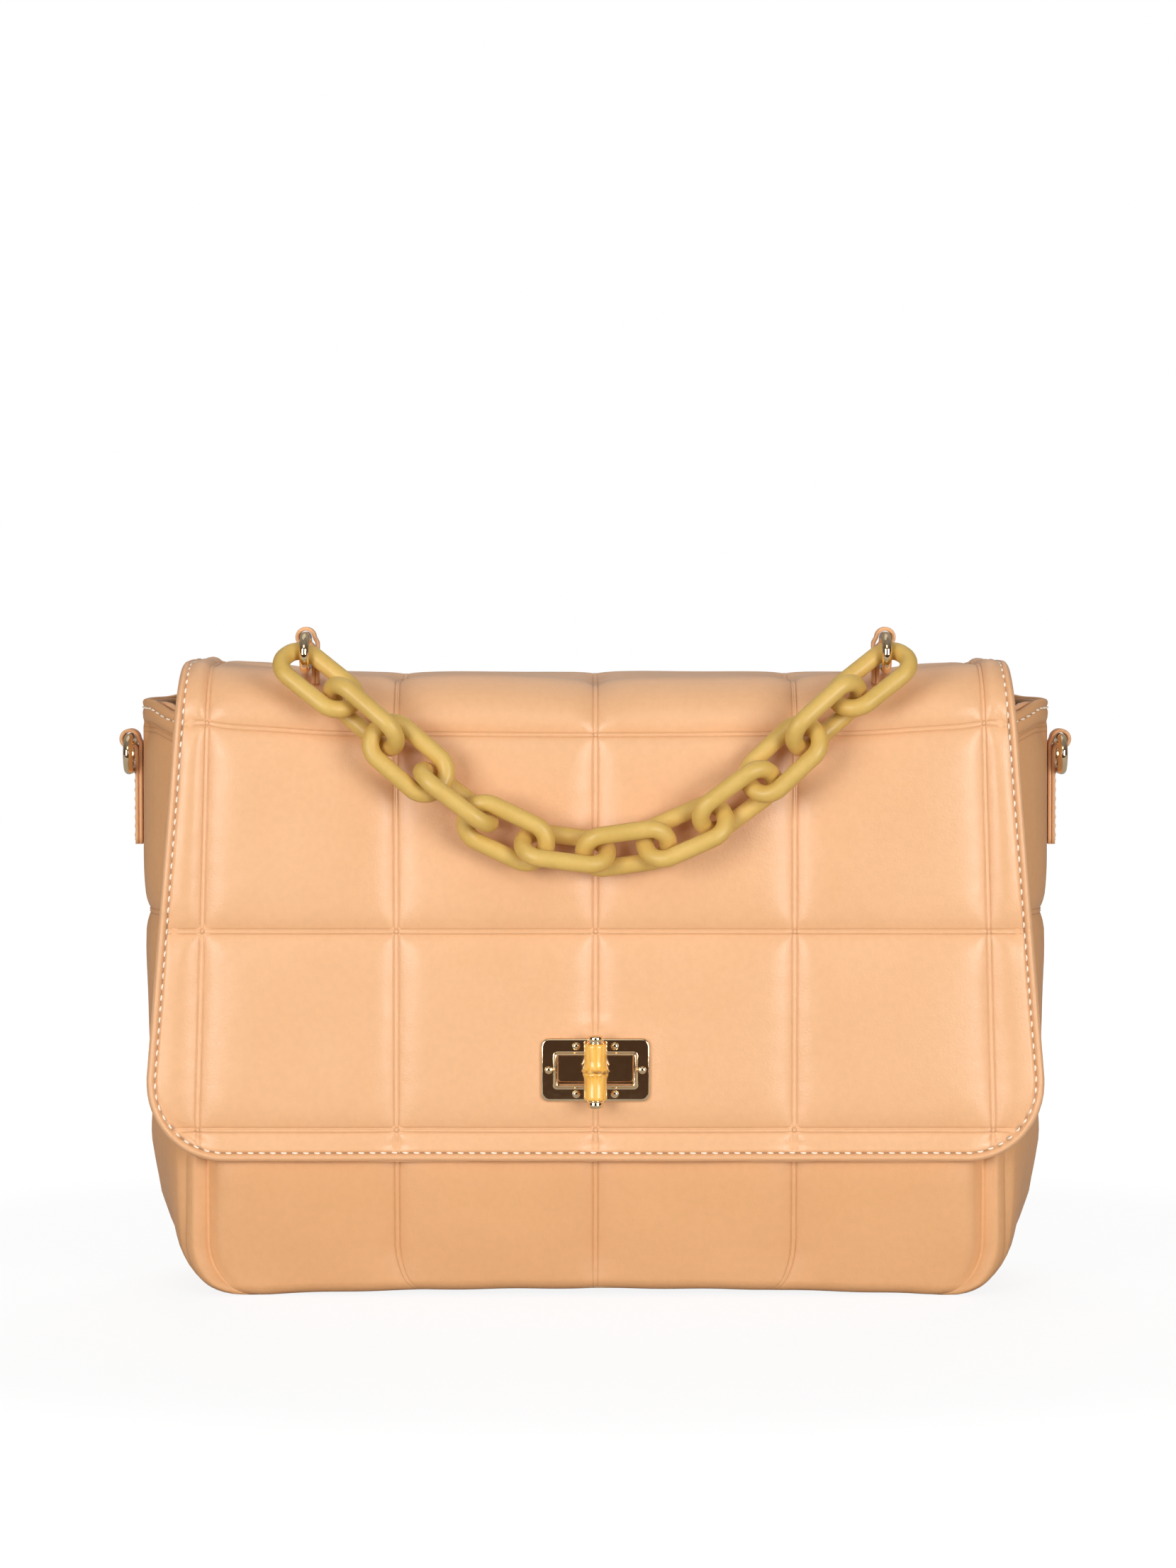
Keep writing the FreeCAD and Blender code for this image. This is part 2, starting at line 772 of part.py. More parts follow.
def build_toggle():
    stem_tip = toggle_depth - size("grip_knot_radius") + size("stem_inset")
    stem = cylinder("toggle_stem", size("stem_radius"), stem_tip - half_depth)
    along_y(stem, as_size(0), -half_depth, size("lock_height"))
    keep("toggle_stem", stem)

    grip = new_body("bamboo_grip")
    sketch = new_sketch(grip, "XZ_Plane", 0)
    half = size("grip_half_length")
    waist = size("grip_waist_height")
    draw_polygon(sketch, [
        (as_size(0), -half),
        (size("grip_end_radius"), -half),
        (size("grip_waist_radius"), -waist),
        (size("grip_knot_radius"), as_size(0)),
        (size("grip_waist_radius"), waist),
        (size("grip_end_radius"), half),
        (as_size(0), half),
    ])
    turn = grip.newObject("PartDesign::Revolution", "bamboo_turn")
    turn.Profile = sketch
    turn.ReferenceAxis = (sketch, ["V_Axis"])
    turn.Angle = 360
    doc.recompute()
    socket_depth = size("stem_inset") + size("stem_fit")
    socket = new_sketch(grip, "XZ_Plane", socket_depth - size("grip_knot_radius"))
    draw_circle(socket, as_size(0), as_size(0), size("stem_radius") + size("stem_fit"))
    cut_depth(grip, socket, socket_depth)
    bind_place(grip, as_size(0), -toggle_depth, size("lock_height"))

    for name, side in (("upper", 1), ("lower", -1)):
        cap = new_body("%s_grip_cap" % name)
        disc = new_sketch(cap, "XY_Plane", 0)
        draw_circle(disc, as_size(0), as_size(0), size("cap_radius"))
        pad(cap, disc, size("cap_length"))
        rim = [
            "Edge%d" % index for index, edge in enumerate(cap.Shape.Edges, start=1)
            if edge.Closed and near(edge.Vertexes[0].Z, size("cap_length").value)]
        round_edges(cap, rim, size("cap_round"))
        if side < 0:
            cap.Placement.Rotation = FreeCAD.Rotation(FreeCAD.Vector(1, 0, 0), 180)
        bind_place(cap, as_size(0), -toggle_depth, size("lock_height") + side * half)


# Strap tabs and their rings
strap_depth = size("strap_thick") * 2
loop_radius = size("eye_radius") + size("strap_thick")
leg_clearance = size("ring_wire_radius") + size("ring_clearance")


def strap_tab(label, side, width, eye_x, middle_y, eye_z, foot_z):
    """A strap folded round an eye along Y, with its two legs on the inner side of the eye."""
    legs = doc.addObject("Part::Box", "%s_legs" % label)
    bind(legs, "Length", strap_depth)
    bind(legs, "Width", width)
    bind(legs, "Height", eye_z - foot_z)
    outer_leg = eye_x - side * leg_clearance
    low_x = outer_leg - strap_depth if side > 0 else outer_leg
    bind_place(legs, low_x, middle_y - width / 2, foot_z)
    loop = cylinder("%s_loop" % label, loop_radius, width)
    along_y(loop, eye_x, middle_y + width / 2, eye_z)
    eye = cylinder("%s_eye" % label, size("eye_radius"), width + size("cut_over") * 2)
    along_y(eye, eye_x, middle_y + width / 2 + size("cut_over"), eye_z)
    return cut("%s_strap" % label, fused("%s_fold" % label, legs, loop), eye)


def draw_rounded_loop(sketch, half_x, half_y, radius):
    """A closed path of straight runs and equal corner arcs about the origin."""
    x = half_x.value
    y = half_y.value
    r = radius.value
    runs = [
        ((r - x, -y), (x - r, -y)),
        ((x, r - y), (x, y - r)),
        ((x - r, y), (r - x, y)),
        ((-x, y - r), (-x, r - y)),
    ]
    centres = [(x - r, r - y), (x - r, y - r), (r - x, y - r), (r - x, r - y)]
    for start, end in runs:
        sketch.addGeometry(Part.LineSegment(FreeCAD.Vector(*start, 0), FreeCAD.Vector(*end, 0)), False)
    for index, (cx, cy) in enumerate(centres):
        circle = Part.Circle(FreeCAD.Vector(cx, cy, 0), FreeCAD.Vector(0, 0, 1), r)
        start = (index - 1) * math.pi / 2
        sketch.addGeometry(Part.ArcOfCircle(circle, start, start + math.pi / 2), False)
    for index in range(4):
        sketch.addConstraint(Sketcher.Constraint("Tangent", index, 2, 4 + index, 1))
        sketch.addConstraint(Sketcher.Constraint("Tangent", 4 + index, 2, (index + 1) % 4, 1))
    sketch.addConstraint(Sketcher.Constraint("Horizontal", 0))
    sketch.addConstraint(Sketcher.Constraint("Vertical", 1))
    for index in (5, 6, 7):
        sketch.addConstraint(Sketcher.Constraint("Equal", 4, index))
    sketch.addConstraint(Sketcher.Constraint("Symmetric", 0, 1, 2, 1, -1, 1))
    rules = (
        (Sketcher.Constraint("Radius", 4, r), radius),
        (Sketcher.Constraint("DistanceX", -1, 1, 1, 1, x), half_x),
        (Sketcher.Constraint("DistanceY", -1, 1, 2, 1, y), half_y),
    )
    for rule, amount in rules:
        index = sketch.addConstraint(rule)
        bind(sketch, "Constraints[%d]" % index, amount)


def wire_loop(label, half_x, half_y, radius, wire):
    """A round wire bent into a rounded loop that lies in the XY plane."""
    body = new_body(label)
    path = new_sketch(body, "XY_Plane", 0)
    draw_rounded_loop(path, half_x, half_y, radius)
    section = new_sketch(body, "YZ_Plane", 0)
    draw_circle(section, -half_y, as_size(0), wire)
    doc.recompute()
    pipe = body.newObject("PartDesign::AdditivePipe", "%s_wire" % body.Name)
    pipe.Profile = section
    pipe.Spine = (path, [])
    doc.recompute()
    return body


def hanging_ring(label, x, y, z):
    """An oval ring standing in the YZ plane, its long way along Y."""
    ring = wire_loop(
        label, size("ring_half_length"), size("ring_half_height"), size("ring_corner_radius"),
        size("ring_wire_radius"))
    length_way = FreeCAD.Vector(0, 1, 0)
    height_way = FreeCAD.Vector(0, 0, 1)
    ring.Placement.Rotation = FreeCAD.Rotation(length_way, height_way, FreeCAD.Vector(1, 0, 0), "XYZ")
    bind_place(ring, x, y, z)


def build_side_tabs():
    wall = size("body_half_width") + size("upper_swell") + size("tab_seat_gap")
    eye_z = gusset_height - size("side_eye_drop")
    ring_z = eye_z + size("ring_rise") - size("ring_half_height")
    width = size("side_strap_width")
    for name, side in (("left", -1), ("right", 1)):
        eye_x = side * (wall + strap_depth + leg_clearance)
        foot = eye_z - size("side_tab_length")
        keep("%s_tab" % name, strap_tab("%s_tab" % name, side, width, eye_x, as_size(0), eye_z, foot))
        hanging_ring("%s_ring" % name, eye_x, as_size(0), ring_z)


# Chain
def face_point(x, run):
    """A point at the links' distance from the flap's outer face, and the face's own direction there.

    The run is the distance down from the crown, over the bend and on down the front.
    """
    radius = (size("flap_bend_radius") + size("link_standoff")).value
    angle = min(run / radius, math.pi / 2)
    below = run - radius * angle
    outward = FreeCAD.Vector(0, -math.sin(angle), math.cos(angle))
    down = FreeCAD.Vector(0, -math.cos(angle), -math.sin(angle))
    centre = FreeCAD.Vector(x, bend_centre_y.value, bend_centre_z.value)
    return centre + outward * radius + down * below, outward


def link_centres(headings):
    """Centres of the links on one side, from the lowest up to the ring, drawn right of the middle."""
    pitch = size("link_pitch").value
    radius = (size("flap_bend_radius") + size("link_standoff")).value
    x = pitch / 2
    run = radius * math.pi / 2 + (bend_centre_z - size("flap_top_height") + size("chain_drop")).value
    centres = [face_point(x, run)]
    for heading in headings:
        x += pitch * math.cos(math.radians(heading))
        run -= pitch * math.sin(math.radians(heading))
        centres.append(face_point(x, run))
    return centres


def link_places():
    """Placements of all links, left to right: X along a link's length and Z across its opening."""
    right = link_centres(RIGHT_HEADING_ANGLES)
    left = link_centres(LEFT_HEADING_ANGLES)
    row = [(FreeCAD.Vector(-p.x, p.y, p.z), outward) for p, outward in reversed(left)] + right
    rolls = tuple(reversed(LEFT_ROLL_ANGLES)) + RIGHT_ROLL_ANGLES
    places = []
    for index, (centre, outward) in enumerate(row):
        before = row[max(index - 1, 0)][0]
        after = row[min(index + 1, len(row) - 1)][0]
        along = (after - before).normalize()
        across = outward.cross(along).normalize()
        turn = FreeCAD.Rotation(along, across, FreeCAD.Vector(0, 0, 0), "XYZ")
        roll = FreeCAD.Rotation(FreeCAD.Vector(1, 0, 0), rolls[index])
        places.append(FreeCAD.Placement(centre, turn * roll))
    return places


def build_chain():
    wire = size("link_wire_radius")
    half_x = size("link_length") / 2 - wire
    half_y = size("link_width") / 2 - wire
    for index, place in enumerate(link_places(), start=1):
        link = wire_loop("chain_link_%02d" % index, half_x, half_y, size("link_corner_radius"), wire)
        link.Placement = place


def build_handle_tabs():
    """Tabs that stand on the flap's front bend behind the chain, their feet cut to its curve."""
    bend = size("flap_bend_radius")
    last_link = link_centres(RIGHT_HEADING_ANGLES)[-1][0]
    ring_x = last_link.x + size("handle_ring_reach")
    ring_y = last_link.y + size("handle_ring_setback")
    ring_z = last_link.z + size("handle_ring_lift")
    middle_y = ring_y + size("handle_strap_setback")
    eye_z = ring_z + size("ring_half_height") - size("ring_rise")
    for name, side in (("left", -1), ("right", 1)):
        label = "%s_handle_tab" % name
        eye_x = side * ring_x
        blank = strap_tab(label, side, size("handle_strap_width"), eye_x, middle_y, eye_z, bend_centre_z)
        curve = cylinder("%s_seat" % label, bend, flap_top_half_width * 2)
        curve.Placement.Rotation = FreeCAD.Rotation(FreeCAD.Vector(0, 1, 0), 90)
        bind_place(curve, -flap_top_half_width, bend_centre_y, bend_centre_z)
        keep(label, cut("%s_seated" % label, blank, curve))
        hanging_ring("%s_handle_ring" % name, eye_x, ring_y, ring_z)


def check_document():
    doc.recompute()
    for item in doc.Objects:
        faults = [word for word in item.State if word in ("Invalid", "Error")]
        if faults:
            raise RuntimeError("%s is %s" % (item.Label, faults))
    for label, item in nodes.items():
        if item.Shape.isNull() or not item.Shape.isValid():
            raise RuntimeError("%s has no valid shape" % label)


def write_nodes():
    os.makedirs("parts", exist_ok=True)
    for label, item in nodes.items():
        item.Shape.exportStep("parts/%s.step" % label)


build_panels()
build_base()
build_gussets()
build_wall_linings()
build_flap()
build_lock_plates()
build_rivets()
build_lock_base()
build_toggle()
build_side_tabs()
build_handle_tabs()
build_chain()
check_document()
write_nodes()
print("%d nodes" % len(nodes))
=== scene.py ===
import math

import bpy
import numpy as np
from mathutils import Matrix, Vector


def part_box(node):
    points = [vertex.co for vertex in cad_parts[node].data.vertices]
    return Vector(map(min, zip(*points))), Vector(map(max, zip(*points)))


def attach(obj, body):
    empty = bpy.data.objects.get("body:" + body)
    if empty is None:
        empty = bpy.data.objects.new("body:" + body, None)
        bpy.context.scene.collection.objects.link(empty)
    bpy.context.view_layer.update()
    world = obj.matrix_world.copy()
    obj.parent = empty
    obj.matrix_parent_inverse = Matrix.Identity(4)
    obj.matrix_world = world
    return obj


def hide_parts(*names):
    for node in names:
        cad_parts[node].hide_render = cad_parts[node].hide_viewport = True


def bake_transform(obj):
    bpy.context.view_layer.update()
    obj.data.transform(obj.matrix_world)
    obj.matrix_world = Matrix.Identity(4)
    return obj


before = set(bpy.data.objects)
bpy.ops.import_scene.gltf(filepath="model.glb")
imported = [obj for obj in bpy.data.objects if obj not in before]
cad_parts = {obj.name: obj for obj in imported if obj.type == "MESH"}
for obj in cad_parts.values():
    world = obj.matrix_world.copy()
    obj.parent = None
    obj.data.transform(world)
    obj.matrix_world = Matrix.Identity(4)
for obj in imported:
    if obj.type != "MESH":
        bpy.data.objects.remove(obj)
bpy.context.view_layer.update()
scene = bpy.context.scene
MM = 0.001

# Sizes in millimetres, as the solids have them
BODY_HALF = 138.0
BODY_CORNER = 18.0
FACE = 46.0
SEAM_Y = 43.6
FRONT_LIP = 195.0
BACK_LIP = 202.3
SIDE_LIP = 200.0
FLAP_FACE = 52.4
FLAP_TOP = 209.0
FLAP_BEND = 22.0
FLAP_LOW = 46.0
FLAP_CORNER = 26.0
FLAP_REAR = 45.7
FLAP_TOP_HALF = 139.0
FLAP_WIDEST = 150.0
FLAP_WIDEST_Z = 74.0
REAR_ROUND = 3.5
LOCK_Z = 77.0

# Quilting lines, and the distance of each row of stitches from its edge
SQUARE = 66.5
LOW_LINE_Z = 56.5
LINE_X = tuple(SQUARE * k for k in (-2, -1, 0, 1, 2))
PANEL_LINE_X = LINE_X[1:4]
PANEL_PAD = 130.0
LINE_Z = tuple(LOW_LINE_Z + SQUARE * k for k in range(3))
SIDE_LINE_Z = (65.0, 128.0, LINE_Z[2])
STITCH_INSET = 2.9
STITCH_START = 9.0
LIP_STITCH = 3.2
HEM_STITCH = 3.0

# Spacing of mesh rows beside a line, and as shares of the rim at an edge
NEAR_LINE = 4.6
LINE_STEPS = (0.0, 0.25, 0.45, 0.6, 0.72, 0.84, 0.96, 1.1, 1.35, 1.7, 2.2, 2.9, 3.8)
RIM_SHARES = (0.0, 0.05, 0.14, 0.26, 0.4, 0.52, 0.6, 0.67, 0.74, 0.82, 0.91, 1.0)

# One stitch: share of its half-length, share of its girth, rise of its middle line
STITCH_SECTIONS = (
    (-1.0, 0.15, -0.55), (-0.82, 0.72, -0.25), (-0.4, 1.0, 0.05), (0.0, 1.05, 0.12),
    (0.4, 1.0, 0.05), (0.82, 0.72, -0.25), (1.0, 0.15, -0.55),
)
STITCH_AROUND = 7
STITCH_REACH = 0.5
STITCH_SLANT = 0.06


# Small helpers
def smooth(t):
    t = np.clip(t, 0.0, 1.0)
    return t * t * (3 - 2 * t)


def bell(d, width):
    return np.exp(-(d / width) ** 2)


def rounded(e, radius):
    """Drop of a rounded edge at a distance e from that edge."""
    t = np.clip(1 - e / radius, 0.0, 1.0)
    return radius * (1 - np.sqrt(1 - t * t))


def to_lines(value, lines):
    """Distance from each value to the nearest line."""
    value = np.asarray(value, float)
    return np.min(np.abs(value[..., None] - np.asarray(lines + (1e6,))), axis=-1)


def pressed(a, b, half_a, half_b, slope):
    """One inside a box about the origin, falling to nothing over a slope outside it."""
    away = np.hypot(np.maximum(np.abs(a) - half_a, 0), np.maximum(np.abs(b) - half_b, 0))
    return smooth(1 - away / slope)


def samples(low, high, coarse, lines=(), ends=4.4):
    """Places from low to high, close together beside each line and at both ends."""
    even = np.linspace(low, high, max(2, int((high - low) / coarse) + 1))
    spots = [p for p in even if to_lines(p, lines) > NEAR_LINE and low + ends < p < high - ends]
    for line in lines:
        for step in LINE_STEPS:
            spots += [p for p in (line - step, line + step) if low + ends < p < high - ends]
    rim = np.array(RIM_SHARES) * ends
    spots += list(low + rim) + list(high - rim)
    return np.array(sorted(set(np.round(spots, 3))))


def add_mesh(name, verts, faces, material, body, slot=None, stands_for=()):
    mesh = bpy.data.meshes.new(name)
    mesh.from_pydata([tuple(v) for v in np.asarray(verts) * MM], [], faces)
    mesh.validate()
    mesh.update()
    mesh.shade_smooth()
    thing = bpy.data.objects.new(name, mesh)
    scene.collection.objects.link(thing)
    mesh.materials.append(material)
    if body:
        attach(thing, body)
    if stands_for:
        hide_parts(*stands_for)
    return thing


def grid_faces(rows, cols, start=0, wrap_cols=False, flip=False):
    faces = []
    for i in range(rows - 1):
        a = start + i * cols
        for j in range(cols if wrap_cols else cols - 1):
            k = (j + 1) % cols
            quad = (a + j, a + k, a + cols + k, a + cols + j)
            faces.append(quad[::-1] if flip else quad)
    return faces


def tube_faces(rows, cols, start=0, flip=False):
    """Faces of a tube of rings, closed at both ends."""
    first = tuple(range(start, start + cols))
    last = tuple(k + (rows - 1) * cols for k in first)
    faces = grid_faces(rows, cols, start, wrap_cols=True, flip=flip)
    return faces + ([first, last[::-1]] if flip else [first[::-1], last])


def shell(outer, inner, flip=False, hole=None):
    """Points and faces of a closed skin between two like grids, open where a quad is marked as a hole."""
    rows, cols = outer.shape[:2]
    count = rows * cols
    solid = np.ones((rows - 1, cols - 1), bool) if hole is None else ~hole
    verts = np.vstack([outer.reshape(-1, 3), inner.reshape(-1, 3)])
    faces = []
    for i, j in zip(*np.nonzero(solid)):
        a = i * cols + j
        quad = (a, a + 1, a + cols + 1, a + cols)
        under = tuple(k + count for k in quad)
        faces += [quad[::-1], under] if flip else [quad, under[::-1]]
    edge = np.zeros((rows + 1, cols + 1), bool)
    edge[1:-1, 1:-1] = solid
    for i, j in zip(*np.nonzero(edge)):
        a = (i - 1) * cols + j - 1
        sides = ((-1, 0, a, a + 1), (1, 0, a + cols + 1, a + cols),
                 (0, -1, a + cols, a), (0, 1, a + 1, a + cols + 1))
        for di, dj, first, second in sides:
            if not edge[i + di, j + dj]:
                quad = (first, first + count, second + count, second)
                faces.append(quad[::-1] if flip else quad)
    return verts, faces


def points_at(x, y, z):
    return np.stack(np.broadcast_arrays(x, y, z), axis=-1)


def unit(v):
    v = np.asarray(v, float)
    return v / np.maximum(np.linalg.norm(v, axis=-1, keepdims=True), 1e-9)


def stitch_mesh(points, normals, length=2.3, radius=0.34, pitch=3.7, sunk=0.1):
    """A row of short thread stitches laid along a path of points."""
    points = np.asarray(points, float)
    normals = unit(normals)
    step = np.linalg.norm(np.diff(points, axis=0), axis=1)
    run = np.concatenate([[0], np.cumsum(step)])

    def at(place, rows):
        return np.array([np.interp(place, run, rows[:, k]) for k in range(3)])

    verts = []
    faces = []
    for place in np.arange(pitch / 2, run[-1], pitch):
        centre = at(place, points)
        tangent = unit(at(place + STITCH_REACH, points) - at(place - STITCH_REACH, points))
        normal = unit(at(place, normals))
        side = unit(np.cross(tangent, normal))
        tangent = unit(tangent + side * STITCH_SLANT)
        first = len(verts)
        for share, girth, rise in STITCH_SECTIONS:
            middle = centre + tangent * (share * length / 2) + normal * (radius - sunk + rise)
            for k in range(STITCH_AROUND):
                a = 2 * math.pi * k / STITCH_AROUND
                verts.append(middle + radius * girth * (side * math.cos(a) + normal * math.sin(a)))
        faces += tube_faces(len(STITCH_SECTIONS), STITCH_AROUND, first)
    return verts, faces


def mark_painted_shade(thing, amount):
    """Stores how much painted shade, for the stitch grooves and the quilting creases, each point of an
    outer grid has.
    """
    layer = thing.data.attributes.new("painted_shade", "FLOAT", "POINT")
    values = np.zeros(len(thing.data.vertices), np.float32)
    values[:amount.size] = amount.ravel()
    layer.data.foreach_set("value", values)


def join_parts(parts):
    verts = []
    faces = []
    for some, more in parts:
        shift = len(verts)
        verts += list(some)
        faces += [tuple(shift + i for i in face) for face in more]
    return verts, faces


# Materials
WHITE = (1.0, 1.0, 1.0)
BLACK = (0.0, 0.0, 0.0)
# Colour of the painted shade in the stitch grooves and the quilting creases
PAINTED_SHADE_TONE = (0.22, 0.085, 0.025)


def grey(value):
    return (value, value, value)


def new_material(name):
    """A material with its node tree, its shader and the object's own coordinates."""
    material = bpy.data.materials.new(name)
    material.use_nodes = True
    tree = material.node_tree
    coords = tree.nodes.new("ShaderNodeTexCoord").outputs["Object"]
    return material, tree, tree.nodes["Principled BSDF"], coords


def put(tree, socket, value):
    """Links an output to a socket, or sets the socket to a value."""
    if isinstance(value, bpy.types.NodeSocket):
        tree.links.new(value, socket)
    else:
        socket.default_value = value


def feed(tree, target, **inputs):
    """Fills the named sockets of a node, or sets its properties of those names."""
    for key, value in inputs.items():
        socket = target.inputs.get(key.replace("_", " "))
        if socket is None:
            setattr(target, key, value)
        else:
            put(tree, socket, value)
    return target


def node(tree, kind, **inputs):
    return feed(tree, tree.nodes.new(kind), **inputs)


def noise(tree, coords, scale, detail=3.0, roughness=0.55):
    made = node(tree, "ShaderNodeTexNoise", Vector=coords, Scale=scale, Detail=detail, Roughness=roughness)
    return made.outputs["Fac"]


def ramp(tree, source, stops):
    made = node(tree, "ShaderNodeValToRGB", Fac=source)
    while len(made.color_ramp.elements) < len(stops):
        made.color_ramp.elements.new(0.5)
    for element, (place, colour) in zip(made.color_ramp.elements, stops):
        element.position = place
        element.color = (*colour, 1.0)
    return made.outputs["Color"]


def blend_colours(tree, first, second, amount, mode="MIX"):
    made = node(tree, "ShaderNodeMix", data_type="RGBA", blend_type=mode)
    for key, kind, value in (("A", "RGBA", first), ("B", "RGBA", second), ("Factor", "VALUE", amount)):
        socket = [s for s in made.inputs if s.name == key and s.type == kind][0]
        put(tree, socket, (*value, 1.0) if isinstance(value, tuple) else value)
    return [s for s in made.outputs if s.type == "RGBA"][0]


def math_node(tree, kind, first, second):
    made = node(tree, "ShaderNodeMath", operation=kind)
    put(tree, made.inputs[0], first)
    put(tree, made.inputs[1], second)
    return made.outputs[0]


def bump(tree, height, strength, distance, **under):
    made = node(tree, "ShaderNodeBump", Height=height, Strength=strength, Distance=distance, **under)
    return made.outputs["Normal"]


def leather(name, light, middle, hollow_shade, grain=1.0, gloss=(0.30, 0.40), shine=0.5, sheen=0.08):
    """Grained leather, with painted shade in its hollows, its quilting creases and its stitch grooves, and
    a painted highlight on its crests.
    """
    material, tree, shader, coords = new_material(name)
    mottle = ramp(tree, noise(tree, coords, scale=28.0, detail=4.0), [(0.25, middle), (0.8, light)])
    specks = noise(tree, coords, scale=420.0, detail=2.0)
    fleck = ramp(tree, specks, [(0.35, (0.955, 0.945, 0.935)), (0.62, WHITE)])
    tone = blend_colours(tree, mottle, fleck, 0.55, "MULTIPLY")
    # Painted shade where the surface is concave and painted highlight where it is convex, read from its
    # curvature
    curved = tree.nodes.new("ShaderNodeNewGeometry").outputs["Pointiness"]
    hollow_shade_mask = ramp(tree, curved, [(0.40, WHITE), (0.485, BLACK)])
    crest_highlight_mask = ramp(tree, curved, [(0.515, BLACK), (0.60, WHITE)])
    # Painted shade along the stitch grooves and the quilting creases, from the stored attribute
    painted_shade = node(tree, "ShaderNodeAttribute", attribute_name="painted_shade").outputs["Fac"]
    for colour, where, amount in ((hollow_shade, hollow_shade_mask, 0.22), (light, crest_highlight_mask, 0.3), (PAINTED_SHADE_TONE, painted_shade, 0.85)):
        tone = blend_colours(tree, tone, colour, math_node(tree, "MULTIPLY", where, amount))
    cells = node(tree, "ShaderNodeTexVoronoi", Vector=coords, Scale=1150.0, Randomness=1.0)
    fine = noise(tree, coords, scale=2600.0)
    pores = math_node(tree, "ADD", math_node(tree, "MULTIPLY", cells.outputs["Distance"], 0.8), fine)
    broad = bump(tree, noise(tree, coords, scale=130.0), strength=0.16 * grain, distance=0.0006)
    normal = bump(tree, pores, strength=0.22 * grain, distance=0.00022, Normal=broad)
    rub = ramp(tree, noise(tree, coords, scale=300.0), [(0.3, grey(gloss[0])), (0.75, grey(gloss[1]))])
    feed(tree, shader, Base_Color=tone, Normal=normal, Roughness=rub, Specular_IOR_Level=shine,
         Sheen_Weight=sheen, Sheen_Roughness=0.4)
    return material


def gold(name, colour, rough):
    material, tree, shader, coords = new_material(name)
    dull = tuple(c * 0.93 for c in colour)
    tint = ramp(tree, noise(tree, coords, scale=90.0, detail=2.0), [(0.3, dull), (0.7, colour)])
    wipes = noise(tree, coords, scale=700.0, detail=4.0)
    wiped = ramp(tree, wipes, [(0.3, grey(rough)), (0.8, grey(rough + 0.05))])
    scuffs = bump(tree, noise(tree, coords, scale=900.0, detail=2.0), strength=0.05, distance=0.0001)
    feed(tree, shader, Base_Color=tint, Roughness=wiped, Normal=scuffs, Metallic=1.0)
    return material


def chain_resin():
    material, tree, shader, coords = new_material("chain_resin")
    shades = [(0.3, (0.68, 0.44, 0.105)), (0.7, (0.77, 0.51, 0.14))]
    tint = ramp(tree, noise(tree, coords, scale=60.0), shades)
    cloud = ramp(tree, noise(tree, coords, scale=600.0), [(0.3, (0.93, 0.92, 0.9)), (0.7, WHITE)])
    tone = blend_colours(tree, tint, cloud, 0.7, "MULTIPLY")
    rub = ramp(tree, noise(tree, coords, scale=240.0), [(0.3, grey(0.36)), (0.75, grey(0.5))])
    grain = bump(tree, noise(tree, coords, scale=1500.0), strength=0.12, distance=0.00012)
    feed(tree, shader, Base_Color=tone, Roughness=rub, Normal=grain, Subsurface_Weight=0.06,
         Subsurface_Radius=(0.004, 0.002, 0.0006))
    return material


def bamboo():
    """Cane with long fibres and dark spots at its knot."""
    material, tree, shader, coords = new_material("bamboo_cane")
    stretch = node(tree, "ShaderNodeMapping", Vector=coords, Scale=(1.0, 1.0, 0.06))
    fibre = noise(tree, stretch.outputs["Vector"], scale=1500.0, detail=4.0, roughness=0.65)
    shades = [(0.28, (0.84, 0.34, 0.035)), (0.5, (0.98, 0.53, 0.085)), (0.72, (1.0, 0.7, 0.2))]
    tint = ramp(tree, fibre, shades)
    split = node(tree, "ShaderNodeSeparateXYZ", Vector=coords)
    above_knot = math_node(tree, "SUBTRACT", split.outputs["Z"], LOCK_Z * MM)
    from_knot = math_node(tree, "MULTIPLY", math_node(tree, "ABSOLUTE", above_knot, 0.0), 260.0)
    band = ramp(tree, from_knot, [(0.05, WHITE), (0.3, BLACK)])
    spots = ramp(tree, noise(tree, coords, scale=700.0, detail=2.0), [(0.48, BLACK), (0.58, WHITE)])
    burnt = math_node(tree, "MULTIPLY", math_node(tree, "MULTIPLY", band, spots), 0.85)
    tone = blend_colours(tree, tint, (0.20, 0.06, 0.012), burnt)
    grain = bump(tree, fibre, strength=0.12, distance=0.0001)
    feed(tree, shader, Base_Color=tone, Normal=grain, Roughness=0.28, Coat_Weight=0.6, Coat_Roughness=0.12)
    return material


def woven(name, light, dark):
    material, tree, shader, coords = new_material(name)
    threads = []
    for turn in ((1.0, 1.0, 1.0), (1.0, -1.0, -1.0)):
        turned = node(tree, "ShaderNodeMapping", Vector=coords, Scale=turn).outputs["Vector"]
        wave = node(tree, "ShaderNodeTexWave", bands_direction="DIAGONAL", Vector=turned, Scale=300.0,
                    Distortion=0.4)
        threads.append(wave.outputs["Fac"])
    weave = math_node(tree, "MULTIPLY", math_node(tree, "ADD", threads[0], threads[1]), 0.5)
    tint = ramp(tree, weave, [(0.1, dark), (0.9, light)])
    relief = bump(tree, weave, strength=0.3, distance=0.0003)
    feed(tree, shader, Base_Color=tint, Normal=relief, Roughness=0.8, Sheen_Weight=0.2)
    return material


